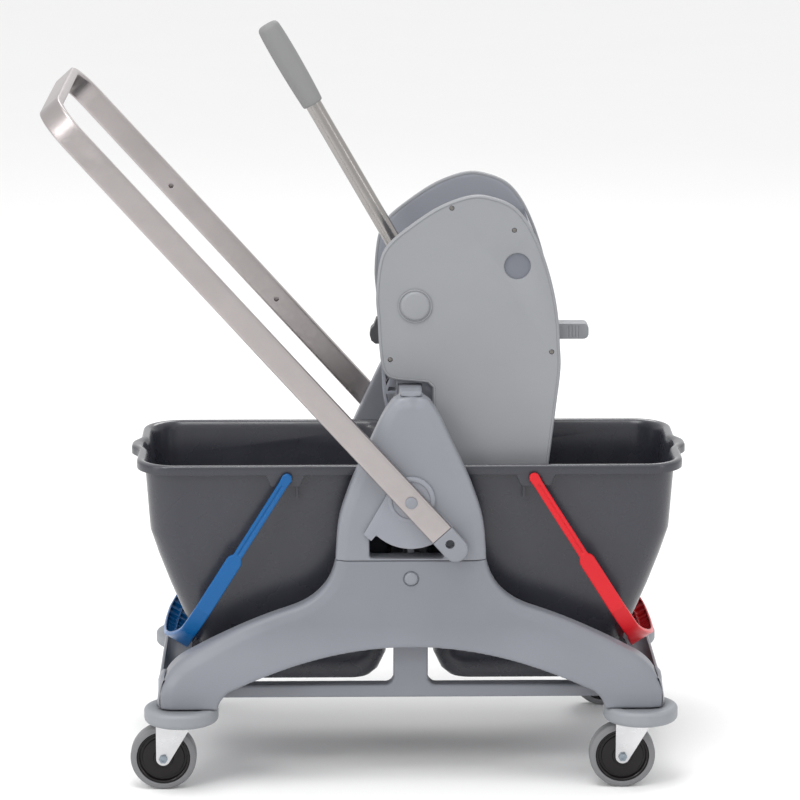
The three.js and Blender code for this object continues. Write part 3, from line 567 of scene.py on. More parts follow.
def chassis():
    near = side_frame()
    near.name = "side_frame_near_shell"
    far = mirror_copy(near, "side_frame_far_shell", "y")
    for obj, (side, sign) in zip((near, far), SIDES):
        # the side frames take the darker copy of the frame plastic, painted shade
        piece(obj, painted_shade_arch_plastic, "frame", "frame_plastic", f"side_frame_{side}")
        plug_profile = [(0, 0.3), (8, 0.3), (8, 0.8), (7.6, 1.7), (6.6, 2.4), (5, 2.75), (0, 2.8)]
        plug = turned(f"plug_{side}", plug_profile, (0, sign * FACE_Y, PLUG_Z), (0, sign, 0), 40)
        piece(plug, frame_plastic, "frame", "frame_plastic", f"frame_plug_{side}")


def smooth_step(value, start, end):
    t = min(1, max(0, (value - start) / (end - start)))
    return t * t * (3 - 2 * t)


def end_wall_section(y):
    """The wall with its eased top, a hollow inner side and a thin floor that runs in under the bucket."""
    away = abs(y)
    outer = WALL_OUTER_X - 3.4 * smooth_step(away, 164, WALL_END_Y)
    between_feet = away < FRAME_INNER_Y - 2
    floor_x = FLOOR_INNER_X if between_feet else TOE_X + 0.25
    top = WALL_TOP_Z + WALL_RISE * smooth_step(away, 105, 150) - 4 * smooth_step(away, 160, WALL_END_Y)
    bottom = WALL_LOW_Z + (11 if away > 119 else 0)
    hollow = 1 - smooth_step(away, 118, FRAME_INNER_Y - 3)
    # how far each point of the inner side lies in and down, and how far down where the wall is plain
    bowl = [(0.6, 2.2, 2.5), (2.5, 6, 5), (6.5, 10.5, 8), (13, 12.8, 9)]
    section = [(outer, bottom), (outer, top - 3.2), (outer - 0.7, top - 1.2), (outer - 1.9, top),
               (TOE_X + 1, top - 0.2)]
    section += [(TOE_X + 0.25 - inward * hollow, top - 1.4 - down * hollow - plain * (1 - hollow))
                for inward, down, plain in bowl]
    floor_z = min(top - 14.8, FLOOR_TOP_Z) if between_feet else top - 14.8
    section += [(floor_x, floor_z), (floor_x, floor_z - 2.6), (TOE_X - 8 * hollow + 0.3, floor_z - 2.7),
                (TOE_X + 0.3, bottom)]
    lean = np.interp([z for _, z in section], *WALL_LEAN)
    return [(x - float(inward), y, z) for (x, z), inward in zip(section, lean)]


def end_walls():
    stops = [*range(0, 104, 13), 108, 112, 116, 118.9, 119.1, 122, 126, 130, 134, 137.9, 138.1, 142, 146, 150,
             155, 160, 164, 168, 172, 176, 179, 181.5, 183.5, WALL_END_Y]
    stops = [-y for y in stops[:0:-1]] + stops
    right = lofted("end_wall_right", [end_wall_section(y) for y in stops])
    left = mirror_copy(right, "end_wall_left", "x")
    for obj, (end, _) in zip((left, right), ENDS):
        # the end walls take the darker copy of the frame plastic, painted shade
        piece(obj, painted_shade_arch_plastic, "frame", "frame_plastic", f"end_beam_{end}")


def tower_edges():
    right = [(TOWER_HALF_BASE, SEAM_Z + 0.3), (87, 327), (75.5, 365), (64, 393), (48, 427), (34.5, 456),
             (25, 471)]
    right = spline(right, 6) + quad_curve((25, 471), (19, 480), (8, 480), 8)
    return right, [(-x, z) for x, z in right]


def tower():
    right, left = tower_edges()
    shield = prism("shield", right + left[::-1], "y", -FACE_Y, -TOWER_INNER_Y)
    window = rectangle(-50, SEAM_Z + 3, 40, SEAM_Z + 30)
    combined(shield, [prism("window", rounded(window, 3), "y", -FACE_Y - 5, -TOWER_INNER_Y + 5)])
    peg = block("peg", (-14, -137, 462), (14, -66, PEG_TOP_Z))
    tab = block("tab", (-13, -157, 470), (13, -134, TOWER_TOP_Z))
    obj = remeshed(merged(shield, [peg, tab]), FRAME_VOXEL)

    def extra(x, z):
        edge = np.minimum(edge_distance(x, z, right), edge_distance(x, z, left))
        return np.where(z < PEG_TOP_Z, -banded(edge, width=12.5, drop=5.2, radius=3.5), 0)

    thickened(obj, TOWER_INNER_Y, FACE_Y, extra)
    return smoothed(obj, FRAME_EASE)


def towers():
    near = tower()
    near.name = "tower_near_shell"
    far = mirror_copy(near, "tower_far_shell", "y")
    for obj, (side, _) in zip((near, far), SIDES):
        piece(obj, frame_plastic, "frame", "frame_plastic", f"tower_{side}")


# ---- casters


def bumper_profile(radius, bottom, top):
    """Half section of a thick disc with eased edges and a shallow dish on top."""
    under = arc(radius - 6, bottom + 6, 6, -90, 0, 9)
    over = arc(radius - 5, top - 5, 5, 0, 90, 9)
    return [(10, bottom), *under, *over, (radius - 12, top), (radius - 14, top - 1), (10, top - 1.2)]


def caster(side, end):
    corner = f"{side}_{end}"
    ring_low, ring_high = span(f"bumper_ring_{corner}")
    middle = (ring_low + ring_high) / 2
    ring = turned(f"bumper_{corner}", bumper_profile((ring_high.x - ring_low.x) / 2, ring_low.z, ring_high.z),
                  (middle.x, middle.y, 0), (0, 0, 1), 96)
    piece(ring, ring_plastic, "frame", "ring_plastic", f"bumper_ring_{corner}")

    low, high = span(f"caster_tyre_{corner}")
    centre = (low + high) / 2
    axis = Vector((0, -1, 0)) if high.y - low.y < high.x - low.x else Vector((1, 0, 0))
    radius = (high.z - low.z) / 2
    half = min(high.x - low.x, high.y - low.y) / 2
    inner = radius - 7.5
    tread = [(radius - 7 + 7 * math.cos(a), (half - 4) * math.copysign(1, a) + 4 * math.sin(a))
             for a in (math.radians(d) for d in range(-90, 91, 10)) if abs(a) > 0.01]
    tyre = turned(f"tyre_{corner}", [(inner, -half), *tread, (inner, half)], centre, axis, 96)
    piece(tyre, tyre_rubber, f"wheel_{corner}", "tyre_rubber", f"caster_tyre_{corner}")

    side_face = [(4.4, 12), (11.5, 12), (12, 11.4), (12.3, 10), (24, 9.2), (25, 8.9), (25.6, 7.2),
                 (28.6, 6.8), (29.2, 9.6), (30, 10.2), (inner - 0.9, 10.2), (inner - 0.3, 9.6)]
    hub = turned(f"hub_{corner}", side_face + [(r, -s) for r, s in side_face[::-1]], centre, axis, 96)
    piece(hub, hub_plastic, f"wheel_{corner}", "hub_plastic", f"caster_hub_{corner}")
    fork(corner, centre, axis)


def fork(corner, centre, axis):
    """Pressed steel fork: two tapering cheeks, a top plate, a swivel bearing and a hexagon bolt."""
    ring_low, ring_high = span(f"bumper_ring_{corner}")
    swivel = (ring_low + ring_high) / 2
    toward = Vector((swivel.x - centre.x, swivel.y - centre.y, 0)).normalized()

    def placed(u, w, v):
        return tuple(centre + toward * u + axis * w + Vector((0, 0, v)))

    heel = quad_curve((32, 37), (33.5, 40), (33, 43.2), 5)
    cheek = [*arc(0, 0, 8.5, 180, 328, 18), (32, 37), *heel, (-8.5, 43.2)]
    cheeks = []
    for sign in (-1, 1):
        rings = [[placed(u, sign * w, v) for u, v in cheek] for w in (12.6, 15)]
        cheeks.append(lofted("cheek", rings))
    top = rectangle(-8.5, -14.9, 33, 14.9)
    plate = lofted("plate", [[placed(u, w, v) for u, w in top] for v in (40.8, 43.2)])
    obj = filed(combined(plate, cheeks, "UNION"), 0.7)
    race = [(0, 40.9), (14, 40.9), (15, 41.6), (15, 42.8), (14.2, 43.4), (6, 43.4), (6, 78), (0, 78)]
    combined(obj, [turned("bearing", race, (swivel.x, swivel.y, centre.z), (0, 0, 1), 48)], "UNION")
    obj.name = f"fork_{corner}"
    piece(obj, zinc_plate, f"caster_{corner}", "zinc_plate", f"caster_fork_{corner}")

    bolt = turned("bolt", [(0, -17), (4, -17), (4, 17), (0, 17)], centre, axis, 32)
    hexagon = arc(0, 0, 5.6, 0, 300, 5)
    for sign in (-1, 1):
        head = lofted("head", [[placed(u, sign * w, v) for u, v in hexagon] for w in (15.2, 18.3)])
        filed(head, 0.8, 2)
        socket = turned("socket", [(0, 17.2), (2.4, 17.2), (2.4, 19), (0, 19)], centre, axis * sign, 24)
        combined(head, [socket])
        combined(bolt, [head], "UNION")
    bolt.name = f"axle_bolt_{corner}"
    piece(bolt, bolt_zinc, f"caster_{corner}", "bright_steel", f"caster_axle_{corner}")


# ---- buckets

RIM_Z = span("bucket_right")[1].z
WALL = 2.8
LIP_Z = 378  # top of the wall, where the rim begins
CORNER_STEPS = 14
END_STEPS = 40
# outside of the wall from the floor up: inner end, outer end, half width, corner radius, height
WALL_STATIONS = np.array([
    (48, 234, 87, 26, 112), (39, 243, 92.5, 32, 119.5), (29, 256, 97.5, 37, 140),
    (24, 293, 106, 39, 230), (22.5, 307, 109.5, 40, 268), (21.5, 317, 113, 40, 300), (19, 322, 121, 40, LIP_Z),
])


def station(z):
    return [float(np.interp(z, WALL_STATIONS[:, 4], WALL_STATIONS[:, i])) for i in range(4)]


def spout_reach(z):
    """How far the pouring lip stands out of the wall."""
    return 6 * max(0, (z - 300) / (LIP_Z - 300)) ** 2


def bucket_ring(inner_x, outer_x, half, radius, z, spout=0.0):
    """A level ring of the bucket's wall, with a pouring lip in the middle of its outer end."""
    points = []
    centres = [(outer_x - radius, half - radius, 0), (inner_x + radius, half - radius, 90),
               (inner_x + radius, radius - half, 180), (outer_x - radius, radius - half, 270)]
    for x, y, start in centres:
        points += [(*p, z) for p in arc(x, y, radius, start, start + 90, CORNER_STEPS)]
    reach = half - radius
    for i in range(1, END_STEPS):
        y = -reach + 2 * reach * i / END_STEPS
        t = min(1, max(0, (36 - abs(y)) / 29))
        points.append((outer_x + spout * t * t * (3 - 2 * t), y, z))
    return points


def rim_ring(share, z, spout):
    """Between the top of the wall (0) and the outside of the rolled rim (1)."""
    inner, outer = (19, 322, 121, 40), (10, 332, 131, 48)
    values = [a + (b - a) * share for a, b in zip(inner, outer)]
    return bucket_ring(*values, z, spout)


def bucket_shell():
    shared = [140, 160, 185, 210, 230, 242, 255, 268, 284, 300, 325, 350]
    heights = [112, 113.5, 116, 119.5, 126, 133, *shared, LIP_Z]
    rings = [bucket_ring(*station(z), z, spout_reach(z)) for z in heights]
    # share of the rim's width, height and reach of the spout: up, over the flat top, down and back inside
    rim = [(0.10, 384, 6), (0.22, 386.6, 6.5), (0.5, 387.4, 8), (0.72, 387.2, 9), (0.8, 385.5, 9.4),
           (0.82, 378.6, 9.6), (0.88, 378, 9.8), (0.97, 378.3, 10), (1.0, 379.4, 10), (1.0, 385.4, 10),
           (0.985, 386.9, 10), (0.94, 388.3, 9.9), (0.86, 389.3, 9.6), (0.76, 389.85, 9.2), (0.64, 390, 8.6),
           (0.4, 389.7, 7.6), (0.2, 388.9, 6.8), (0.0, 387.4, 6.3)]
    rings += [rim_ring(*values) for values in rim]
    for z in (380, *reversed(shared), 131, 124, 120.5):
        x0, x1, half, radius = station(min(z, LIP_Z))
        rings.append(bucket_ring(x0 + WALL, x1 - WALL, half - WALL, radius - WALL, z, spout_reach(z)))
    return lofted("bucket", rings)


def bucket():
    obj = bucket_shell()
    pivot = joint_point("right_bail_swing")
    under_rim = RIM_Z - 8.5
    lug = [(pivot.x - 17, pivot.z - 8), (pivot.x + 17, pivot.z - 8), (pivot.x + 25, under_rim),
           (pivot.x - 25, under_rim)]
    heel = [(232, 113), (272, 113), (275, 120), (268, 150), (258, 166), (250, 166)]
    parts = []
    for sign in (-1, 1):
        body = prism("lug", rounded(lug, 2.5), "y", *across(sign, 119.2, 130.6))
        hole = arc(pivot.x, pivot.z, 4.4, 0, 345, 23)
        combined(body, [prism("hole", hole, "y", *across(sign, 123.5, 133))])
        parts.append(filed(body, 0.8, 2))
        low, high = across(sign, 116.4, 124.5)
        parts.append(block("fin", (pivot.x - 15.5, low, 348), (pivot.x - 12.5, high, 366)))
        parts.append(filed(prism("heel", rounded(heel, 3), "y", *across(sign, 62, 67)), 0.8, 2))
    tread = rounded(rectangle(236, -62, 270, 62), 4)
    parts.append(filed(prism("tread", tread, "z", 113, 117), 0.8, 2))
    return combined(obj, parts, "UNION")


def buckets():
    right = bucket()
    right.name = "bucket_right_shell"
    left = mirror_copy(right, "bucket_left_shell", "x")
    for obj, (end, _) in zip((left, right), ENDS):
        piece(obj, bucket_plastic, f"{end}_bucket", "bucket_plastic", f"bucket_{end}")


# ---- bails

BAIL_THICK = 5.5
BAIL_OUTER_Y = span("bail_right")[1].y
BAIL_ANGLE = 57.9
BAIL_VOXEL = 0.75


def bail_path():
    """Half of the bail's outside line, from its far arm to the middle of the grip: (x, y)."""
    straight = [(x, BAIL_OUTER_Y) for x in (-10, -9.4, -8, -5, 0, 6, 20, 40, 60, 80, 95, 104, 108)]
    straight += [(x, BAIL_OUTER_Y) for x in (109, 109.5, 110.5, 112, 114, 117, 121, 135, 150, 165, 178)]
    return straight + spline([(190, 138.5), (226, 125), (250, 88), (263, 40), (266, 0)], 10)


def bail_half_width(x):
    """Half the strap's width: a round eye, a slim arm, a round-nosed broad strap and a broader grip."""
    if x < 4:
        return math.sqrt(max(0.01, 6.6 ** 2 - (x + 3.4) ** 2)) if x < -3.4 else 6.6 - (x + 3.4) * 0.13
    slim = 5.6
    nose = math.sqrt(max(0, 1 - (min(0, x - 119) / 10) ** 2)) * 9.7 if x > 109 else 0
    grip = 6.2 * min(1, max(0, (x - 228) / 30)) ** 1.2
    return max(slim, nose) + grip


def strap(name, path, inner, outer, low_of, high_of):
    """A skin between two depths behind the path and two heights, which may change along it."""
    rings = []
    for i, (x, y) in enumerate(path):
        before, after = path[max(i - 1, 0)], path[min(i + 1, len(path) - 1)]
        along = Vector((after[0] - before[0], after[1] - before[1])).normalized()
        inward = Vector((along.y, -along.x))
        if inward.y * y > 0 and abs(y) > 1:
            inward = -inward
        if abs(y) <= 1:
            inward = Vector((-1, 0))
        low, high = low_of(x), high_of(x)
        corner = min(1.3, (high - low) * 0.3, (outer - inner) * 0.4)
        section = [(inner + corner, low), (outer - corner, low), (outer - corner * 0.3, low + corner * 0.3),
                   (outer, low + corner), (outer, high - corner), (outer - corner * 0.3, high - corner * 0.3),
                   (outer - corner, high), (inner + corner, high), (inner + corner * 0.3, high - corner * 0.3),
                   (inner, high - corner), (inner, low + corner), (inner + corner * 0.3, low + corner * 0.3)]
        rings.append([(x + inward.x * d, y + inward.y * d, h) for d, h in section])
    return lofted(name, rings)


def bail():
    half = bail_path()
    path = half + [(x, -y) for x, y in half[-2::-1]]
    arms = [p for p in path if p[0] < 212]
    split = len(arms) // 2
    bow = [p for p in path if p[0] >= 196]

    width = bail_half_width

    def under(x):
        return -width(x)

    parts = []
    for arm in (arms[:split], arms[split:]):
        eye, slim = [p for p in arm if p[0] <= 6], [p for p in arm if 6 <= p[0] <= 108]
        parts.append(strap("eye", eye, 0, BAIL_THICK, under, width))
        parts.append(strap("slim", slim, 1.4, BAIL_THICK, under, width))
        parts.append(strap("ridge", slim, 0, 3, lambda x: 1.2, width))
        parts.append(strap("ridge", slim, 0, 3, under, lambda x: -1.2))
        parts.append(strap("broad", [p for p in arm if p[0] >= 108], 0, BAIL_THICK, under, width))
    parts.append(strap("skin", bow, 0, 2.0, under, width))
    parts.append(strap("flange", bow, 0, BAIL_THICK, lambda x: width(x) - 2.2, width))
    parts.append(strap("flange", bow, 0, BAIL_THICK, under, lambda x: 2.2 - width(x)))
    parts.append(strap("midrib", bow, 0, BAIL_THICK - 0.6, lambda x: -0.8, lambda x: 0.8))
    for i, (x, y) in enumerate(bow[2:-2:3]):
        k = 2 + 3 * i
        along = (Vector(bow[k + 1]) - Vector(bow[k - 1])).normalized()
        inward = Vector((along.y, -along.x))
        if inward.x > 0:
            inward = -inward
        half = width(x) - 1.2
        places = ((0.8, -0.8), (0.8, 0.8), (4.9, 0.8), (4.9, -0.8))
        rib = [tuple(Vector((x, y)) + inward * deep + along * aside) for deep, aside in places]
        parts.append(prism("rib", rib, "z", -half, half))
    pin = [(0, 124.6), (3.4, 124.6), (4, 125.4), (4, 135), (0, 135)]
    button = [(0, 137), (5, 137), (5, 138), (4.4, BAIL_OUTER_Y), (0, BAIL_OUTER_Y)]
    for sign in (-1, 1):
        parts.append(turned("pin", pin, (0, 0, 0), (0, sign, 0), 32))
        parts.append(turned("button", button, (0, 0, 0), (0, sign, 0), 32))
    return smoothed(remeshed(merged(parts[0], parts[1:]), BAIL_VOXEL), 2)


def bails():
    shared = bail()
    home = Matrix.Translation((-CENTRE_X * MM, 0, 0))
    for (end, sign), material, slot in zip(ENDS, (blue_plastic, red_plastic), ("blue_plastic", "red_plastic")):
        pivot = joint_point(f"{end}_bail_swing")
        angle = math.radians(BAIL_ANGLE if sign > 0 else 180 - BAIL_ANGLE)
        place = Matrix.Translation(((pivot.x + CENTRE_X) * MM, 0, pivot.z * MM))
        mesh = shared.data.copy()
        mesh.transform(place @ Matrix.Rotation(angle, 4, "Y") @ home)
        obj = placed_in_scene(f"bail_{end}_strap", mesh)
        piece(obj, material, f"{end}_bail", slot, f"bail_{end}")
    bpy.data.objects.remove(shared)


# ---- push handle

HANDLE_ANGLE = math.radians(47.9)
HANDLE_REACH = 637.8
HANDLE_OUTER_Y = span("pull_handle")[1].y
HANDLE_THICK = 12
HANDLE_WIDTH = 30
HANDLE_CORNER = 50
HANDLE_TAIL = 54
CAP_END = 79
HANDLE_HOLES = (245, 442)  # small holes in the inner faces of the arms, from the pivot


def handle_point(u, y, v):
    """A point given along the arms, across the trolley and square to the arms' flat side."""
    pivot = joint_point("handle_fold")
    x = -u * math.cos(HANDLE_ANGLE) - v * math.sin(HANDLE_ANGLE)
    z = u * math.sin(HANDLE_ANGLE) - v * math.cos(HANDLE_ANGLE)
    return (pivot.x + x, y, pivot.z + z)


def dent(u, v):
    """The slight dimple that bending leaves in the arms."""
    return 0.9 * math.exp(-((u - (HANDLE_REACH - 76)) / 9) ** 2 - ((v - 1) / 8) ** 2)


def push_handle():
    middle_y = HANDLE_OUTER_Y - HANDLE_THICK / 2
    bend = HANDLE_CORNER - HANDLE_THICK / 2
    stops = [-HANDLE_TAIL, -20, 40, 140, 260, 380, 480, 530, *range(540, 588, 4)]
    path = [((u, -middle_y), (0, -1)) for u in stops]
    for first, y0 in ((-90, bend - middle_y), (0, middle_y - bend)):
        for i in range(17):
            a = math.radians(first + 90 * i / 16)
            out = (math.cos(a), math.sin(a))
            path.append(((HANDLE_REACH - HANDLE_CORNER + bend * out[0], y0 + bend * out[1]), out))
    path += [((u, middle_y), (0, 1)) for u in stops[::-1]]
    half_thick, half_wide, radius = HANDLE_THICK / 2, HANDLE_WIDTH / 2, 3
    section = []
    for right, top, start in ((1, 1, 0), (-1, 1, 90), (-1, -1, 180), (1, -1, 270)):
        corner = right * (half_thick - radius), top * (half_wide - radius)
        section += arc(*corner, radius, start, start + 90, 6)
        if start in (0, 180):
            continue
        sign = -1 if start == 90 else 1
        section += [(sign * half_thick, v * sign) for v in (-8, -5, -2, 1, 4, 7)]
    rings = []
    for (u, y), out in path:
        ring = []
        for n, v in section:
            pressed = dent(u, v) if n > half_thick - 0.1 else 0
            ring.append(handle_point(u + out[0] * (n - pressed), y + out[1] * (n - pressed), v))
        rings.append(ring)
    obj = lofted("push_handle_tube", rings)
    start, end = HANDLE_OUTER_Y - 16, HANDLE_OUTER_Y - 2
    profile = [(0, start), (3.2, start), (3.2, end), (0, end)]
    combined(obj, [turned("drill", profile, handle_point(along, 0, 1), (0, sign, 0), 24)
                   for along in HANDLE_HOLES for sign in (-1, 1)])
    piece(obj, anodised, "handle", "anodised_aluminium", "pull_handle")


def handle_fittings(side, sign):
    half = HANDLE_WIDTH / 2
    outline = [(-HANDLE_TAIL - 0.4, half), *arc(-CAP_END, 0, half, 90, 270, 24), (-HANDLE_TAIL - 0.4, -half)]
    inner, outer = HANDLE_OUTER_Y - HANDLE_THICK, HANDLE_OUTER_Y
    cap = lofted("cap", [[handle_point(u, sign * y, v) for u, v in outline] for y in (inner, outer)])
    filed(cap, 2.6, 4, 50)
    hole = [(0, 160), (5.6, 160), (5.6, 200), (0, 200)]
    combined(cap, [turned("hole", hole, handle_point(-CAP_END + 10, 0, 0), (0, sign, 0), 40)])
    cap.name = f"end_cap_{side}"
    piece(cap, frame_plastic, "handle", "frame_plastic", f"handle_cap_{side}")

    pivot = joint_point("handle_fold")
    head = [(0, 0.3), (7.3, 0.3), (7.3, 1.6), (6.7, 2.8), (5.4, 3.4), (2.5, 3.5), (0, 3.5)]
    profile = [(0, -33), (5, -33), (5, 0.3), *head[1:]]
    pin = turned(f"pivot_pin_{side}", profile, (pivot.x, sign * HANDLE_OUTER_Y, pivot.z), (0, sign, 0), 48)
    piece(pin, frame_plastic, "handle", "frame_plastic", f"handle_pin_{side}")

    plate = [(-57, -42), (-48, -50), (-42, -43), *arc(0, 0, 60, 226, 327, 30), *arc(0, 0, 28.5, -20, 150, 30)]
    plate = [(pivot.x + x, pivot.z + z) for x, z in plate]
    sector = prism("sector", plate, "y", *across(sign, FACE_Y + 0.3, FACE_Y + 4.2))
    filed(sector, 1.3, 3, 40)
    boss = [(0, 1), (0, 4.4), (20.5, 4.4), (21.4, 3.6), (22.2, 3.6), (23.2, 5.2), (25.6, 5.5), (27.4, 4.6),
            (28.2, 2.6), (28.4, 1)]
    disc = turned("boss", boss, (pivot.x, sign * FACE_Y, pivot.z), (0, sign, 0), 72)
    combined(sector, [disc], "UNION")
    sector.name = f"sector_{side}"
    piece(sector, inner_plastic, "handle", "inner_plastic", f"stop_sector_{side}")


def handle():
    push_handle()
    for side, sign in SIDES:
        handle_fittings(side, sign)


# ---- wringer

COVER_Y = -span("wringer_cover_near")[0].y
WRINGER_BOTTOM_Z = span("wringer_cover_near")[0].z
SHAFT = joint_point("lever_pull")
GEAR_MODULE = 4
TOOTH_HEIGHT = 7.6
RACK_TEETH = range(-4, 2)
SCREWS = ((50, 698), (125, 671), (171, 522), (-24, 513))
RECESS = 129, 0, 627


def cover_outline():
    """The covers' outline, counter-clockwise from the bottom left."""
    edge = [(163, 352), (168, 379), (177, 455), (182, 500), (181, 530), (178, 570), (170, 610), (158, 647),
            (143, 678), (125, 699), (101, 710), (74, 713), (36, 700), (-2, 675), (-27, 653), (-37, 630),
            (-41, 590), (-39, 560), (-37, 525), (-33, 501), (-22, 489), (8, 485.5)]
    corner = rounded(rectangle(36, WRINGER_BOTTOM_Z, 163, 400), 3)
    start = [p for p in corner if p[1] < 360]
    notch = [(21, 484), (27, 478), (27, 432), (36, 420)]
    return start + spline(edge, 6)[1:] + notch


def cover(side, sign):
    outline = cover_outline()
    profile = [(3, 88.8), (1.3, 88.8), (0.5, 89.2), (0, 90.2), (0, 94.4), (0.3, 95.4), (0.9, 96.3), (1.7, 96.85),
               (2.4, 97), (2.8, 96.9), (3.0, 96.3), (3.6, 96.2), (3.9, 96.55), (6, 96.6)]
    scale = COVER_Y / 97
    rings = [[(x, sign * 93, z) for x, z in inset(outline, 3)]]
    rings += [[(x, sign * y * scale, z) for x, z in inset(outline, d)] for d, y in profile]
    obj = lofted(f"side_cover_{side}", rings)
    axis = (0, sign, 0)
    recess = [(0, 90), (15.8, 90), (15.8, 94.8), (16.4, 96), (18.6, 96.8), (18.6, 99), (0, 99)]
    sink = [(0, 94.9), (3, 94.9), (3.2, 97.5), (0, 97.5)]
    combined(obj, [turned("recess", recess, RECESS, axis, 64),
                   *(turned("sink", sink, (x, 0, z), axis, 28) for x, z in SCREWS)])
    piece(obj, cover_plastic, "wringer", "cover_plastic", f"wringer_cover_{side}")
    floor = turned(f"recess_floor_{side}", [(0, 91), (17, 91), (17, 93.4), (0, 93.4)], RECESS, axis, 64)
    piece(floor, recess_plastic, "wringer", "inner_plastic")
    screw = [(0, 94.95), (2.8, 94.95), (2.8, 95.5), (2.2, 96), (0, 96.2)]
    for number, (x, z) in enumerate(SCREWS, 1):
        head = turned("head", screw, (x, 0, z), axis, 28)
        low, high = across(sign, 95.6, 97)
        cross = [block("slot", (x - 1.7, low, z - 0.4), (x + 1.7, high, z + 0.4)),
                 block("slot", (x - 0.4, low, z - 1.7), (x + 0.4, high, z + 1.7))]
        combined(head, cross)
        head.name = f"cover_screw_{side}_{number}"
        piece(head, screw_steel, "wringer", "bright_steel")
    cap = [(0, 0.3), (20.5, 0.3), (20.4, 1.2), (19.9, 1.7), (19.2, 1.7), (18.7, 1.0), (18.1, 0.9), (17.7, 1.6),
           (17, 2.8), (15.8, 3.8), (14, 4.25), (0, 4.3)]
    obj = turned(f"bearing_cover_{side}", cap, (SHAFT.x, sign * COVER_Y, SHAFT.z), axis, 72)
    piece(obj, cover_plastic, "wringer", "cover_plastic", f"bearing_cap_{side}")


def foot(sign):
    """The hooked foot on the tower's peg, lightened by three-cornered windows, which are blind on the far side."""
    outline = [(-35, 512), (-33, 470), (-26, 430), (-15, 430), (-15, 481.3), (15, 481.3), (15, 450), (39, 440),
               (39, 512)]
    low, high = across(sign, 60, 84.7)
    obj = prism("foot", outline, "y", low, high)
    windows = [[(-30.5, 503), (-29, 478), (-18, 503)], [(-16.5, 498), (-27.5, 472), (-16.5, 472)],
               [(-29, 468.5), (-24, 444), (-17.5, 468.5)]]
    end = high - 3 if sign > 0 else high + 1
    return combined(obj, [prism("window", rounded(window, 1.2, 3), "y", low - 1, end) for window in windows])


def casing():
    outline = cover_outline()
    side = COVER_Y - 4.3
    inside = side - 3.7
    obj = prism("casing", inset(outline, 3.3), "y", -side, side)
    room = prism("room", inset(outline, 7), "y", -inside, inside)
    opening = [(-60, 514), (60, 514), (146, 660), (146, 760), (-60, 760)]
    mouth = prism("mouth", opening, "y", -inside, inside)
    bore = [(0, -100), (6.4, -100), (6.4, 100), (0, 100)]
    shaft_hole = turned("hole", bore, (SHAFT.x, 0, SHAFT.z), (0, 1, 0), 32)
    latch_slot = block("slot", (150, -12.8, 520.2), (200, 12.8, 540.8))
    cutters = [room, mouth, shaft_hole, latch_slot]
    for y in (-56, -28, 0, 28, 56):
        slot = rounded(rectangle(60, y - 6, 140, y + 6), 5)
        cutters.append(prism("drain", slot, "z", WRINGER_BOTTOM_Z - 5, WRINGER_BOTTOM_Z + 12))
    combined(obj, cutters)
    combined(obj, [foot(-1), foot(1)], "UNION")
    filed(obj, 1.1, 3, 40)
    obj.name = "wringer_body"
    piece(obj, inner_plastic, "wringer", "inner_plastic", "wringer_casing")


def latch():
    low, high = span("release_latch")
    nose = 6.5
    tab = [(183, low.z + 1), (184, low.z), *arc(high.x - nose, low.z + nose, nose, -90, 0, 8),
           *arc(high.x - nose, high.z - nose, nose, 0, 90, 8), (184, high.z), (183, high.z - 1)]
    obj = prism("tab", tab, "y", low.y, high.y)
    combined(obj, [block("stem", (low.x, -11.9, 525), (186, 11.9, 536))], "UNION")
    filed(obj, 1.3, 3, 40)
    combined(obj, [prism("groove", arc(x, sign * 12.9, 1.5, 0, 345, 23), "z", low.z + 2.5, high.z - 2.5)
                   for x in (196, 200, 204, 208) for sign in (-1, 1)])
    obj.name = "latch_tab"
    piece(obj, cover_plastic, "latch", "cover_plastic", "release_latch")


def rack():
    """The rack that the lever's gear drives, with a blunt point at its free end."""
    low, high = span("press_rack")
    pitch = math.pi * GEAR_MODULE
    root = high.z - TOOTH_HEIGHT
    half_tip, half_root = pitch / 4 - 1.3, pitch / 4 + 1.45
    outline = [(high.x, root), (high.x, low.z), (low.x + 7, low.z), (low.x + 2, low.z + 4), (low.x, low.z + 11),
               (low.x + 1.5, root - 5), (low.x + 6, root)]
    for tooth in RACK_TEETH:
        x = SHAFT.x + (tooth + 0.5) * pitch
        outline += [(x - half_root, root), (x - half_tip, high.z), (x + half_tip, high.z), (x + half_root, root)]
    obj = prism("rack_bar", outline, "y", low.y, high.y)
    # the rack's near-black plastic is painted shade
    piece(eased(obj, 0.4, 2), painted_shade_rack_plastic, "press", "inner_plastic", "press_rack")


def wringer():
    for side, sign in SIDES:
        cover(side, sign)
    casing()
    latch()
    rack()


# ---- lever

LEVER_ANGLE = math.radians(29.9)
LEVER_LENGTH = 374
LEVER_OFFSET = 9.7
GRIP_LENGTH = 112


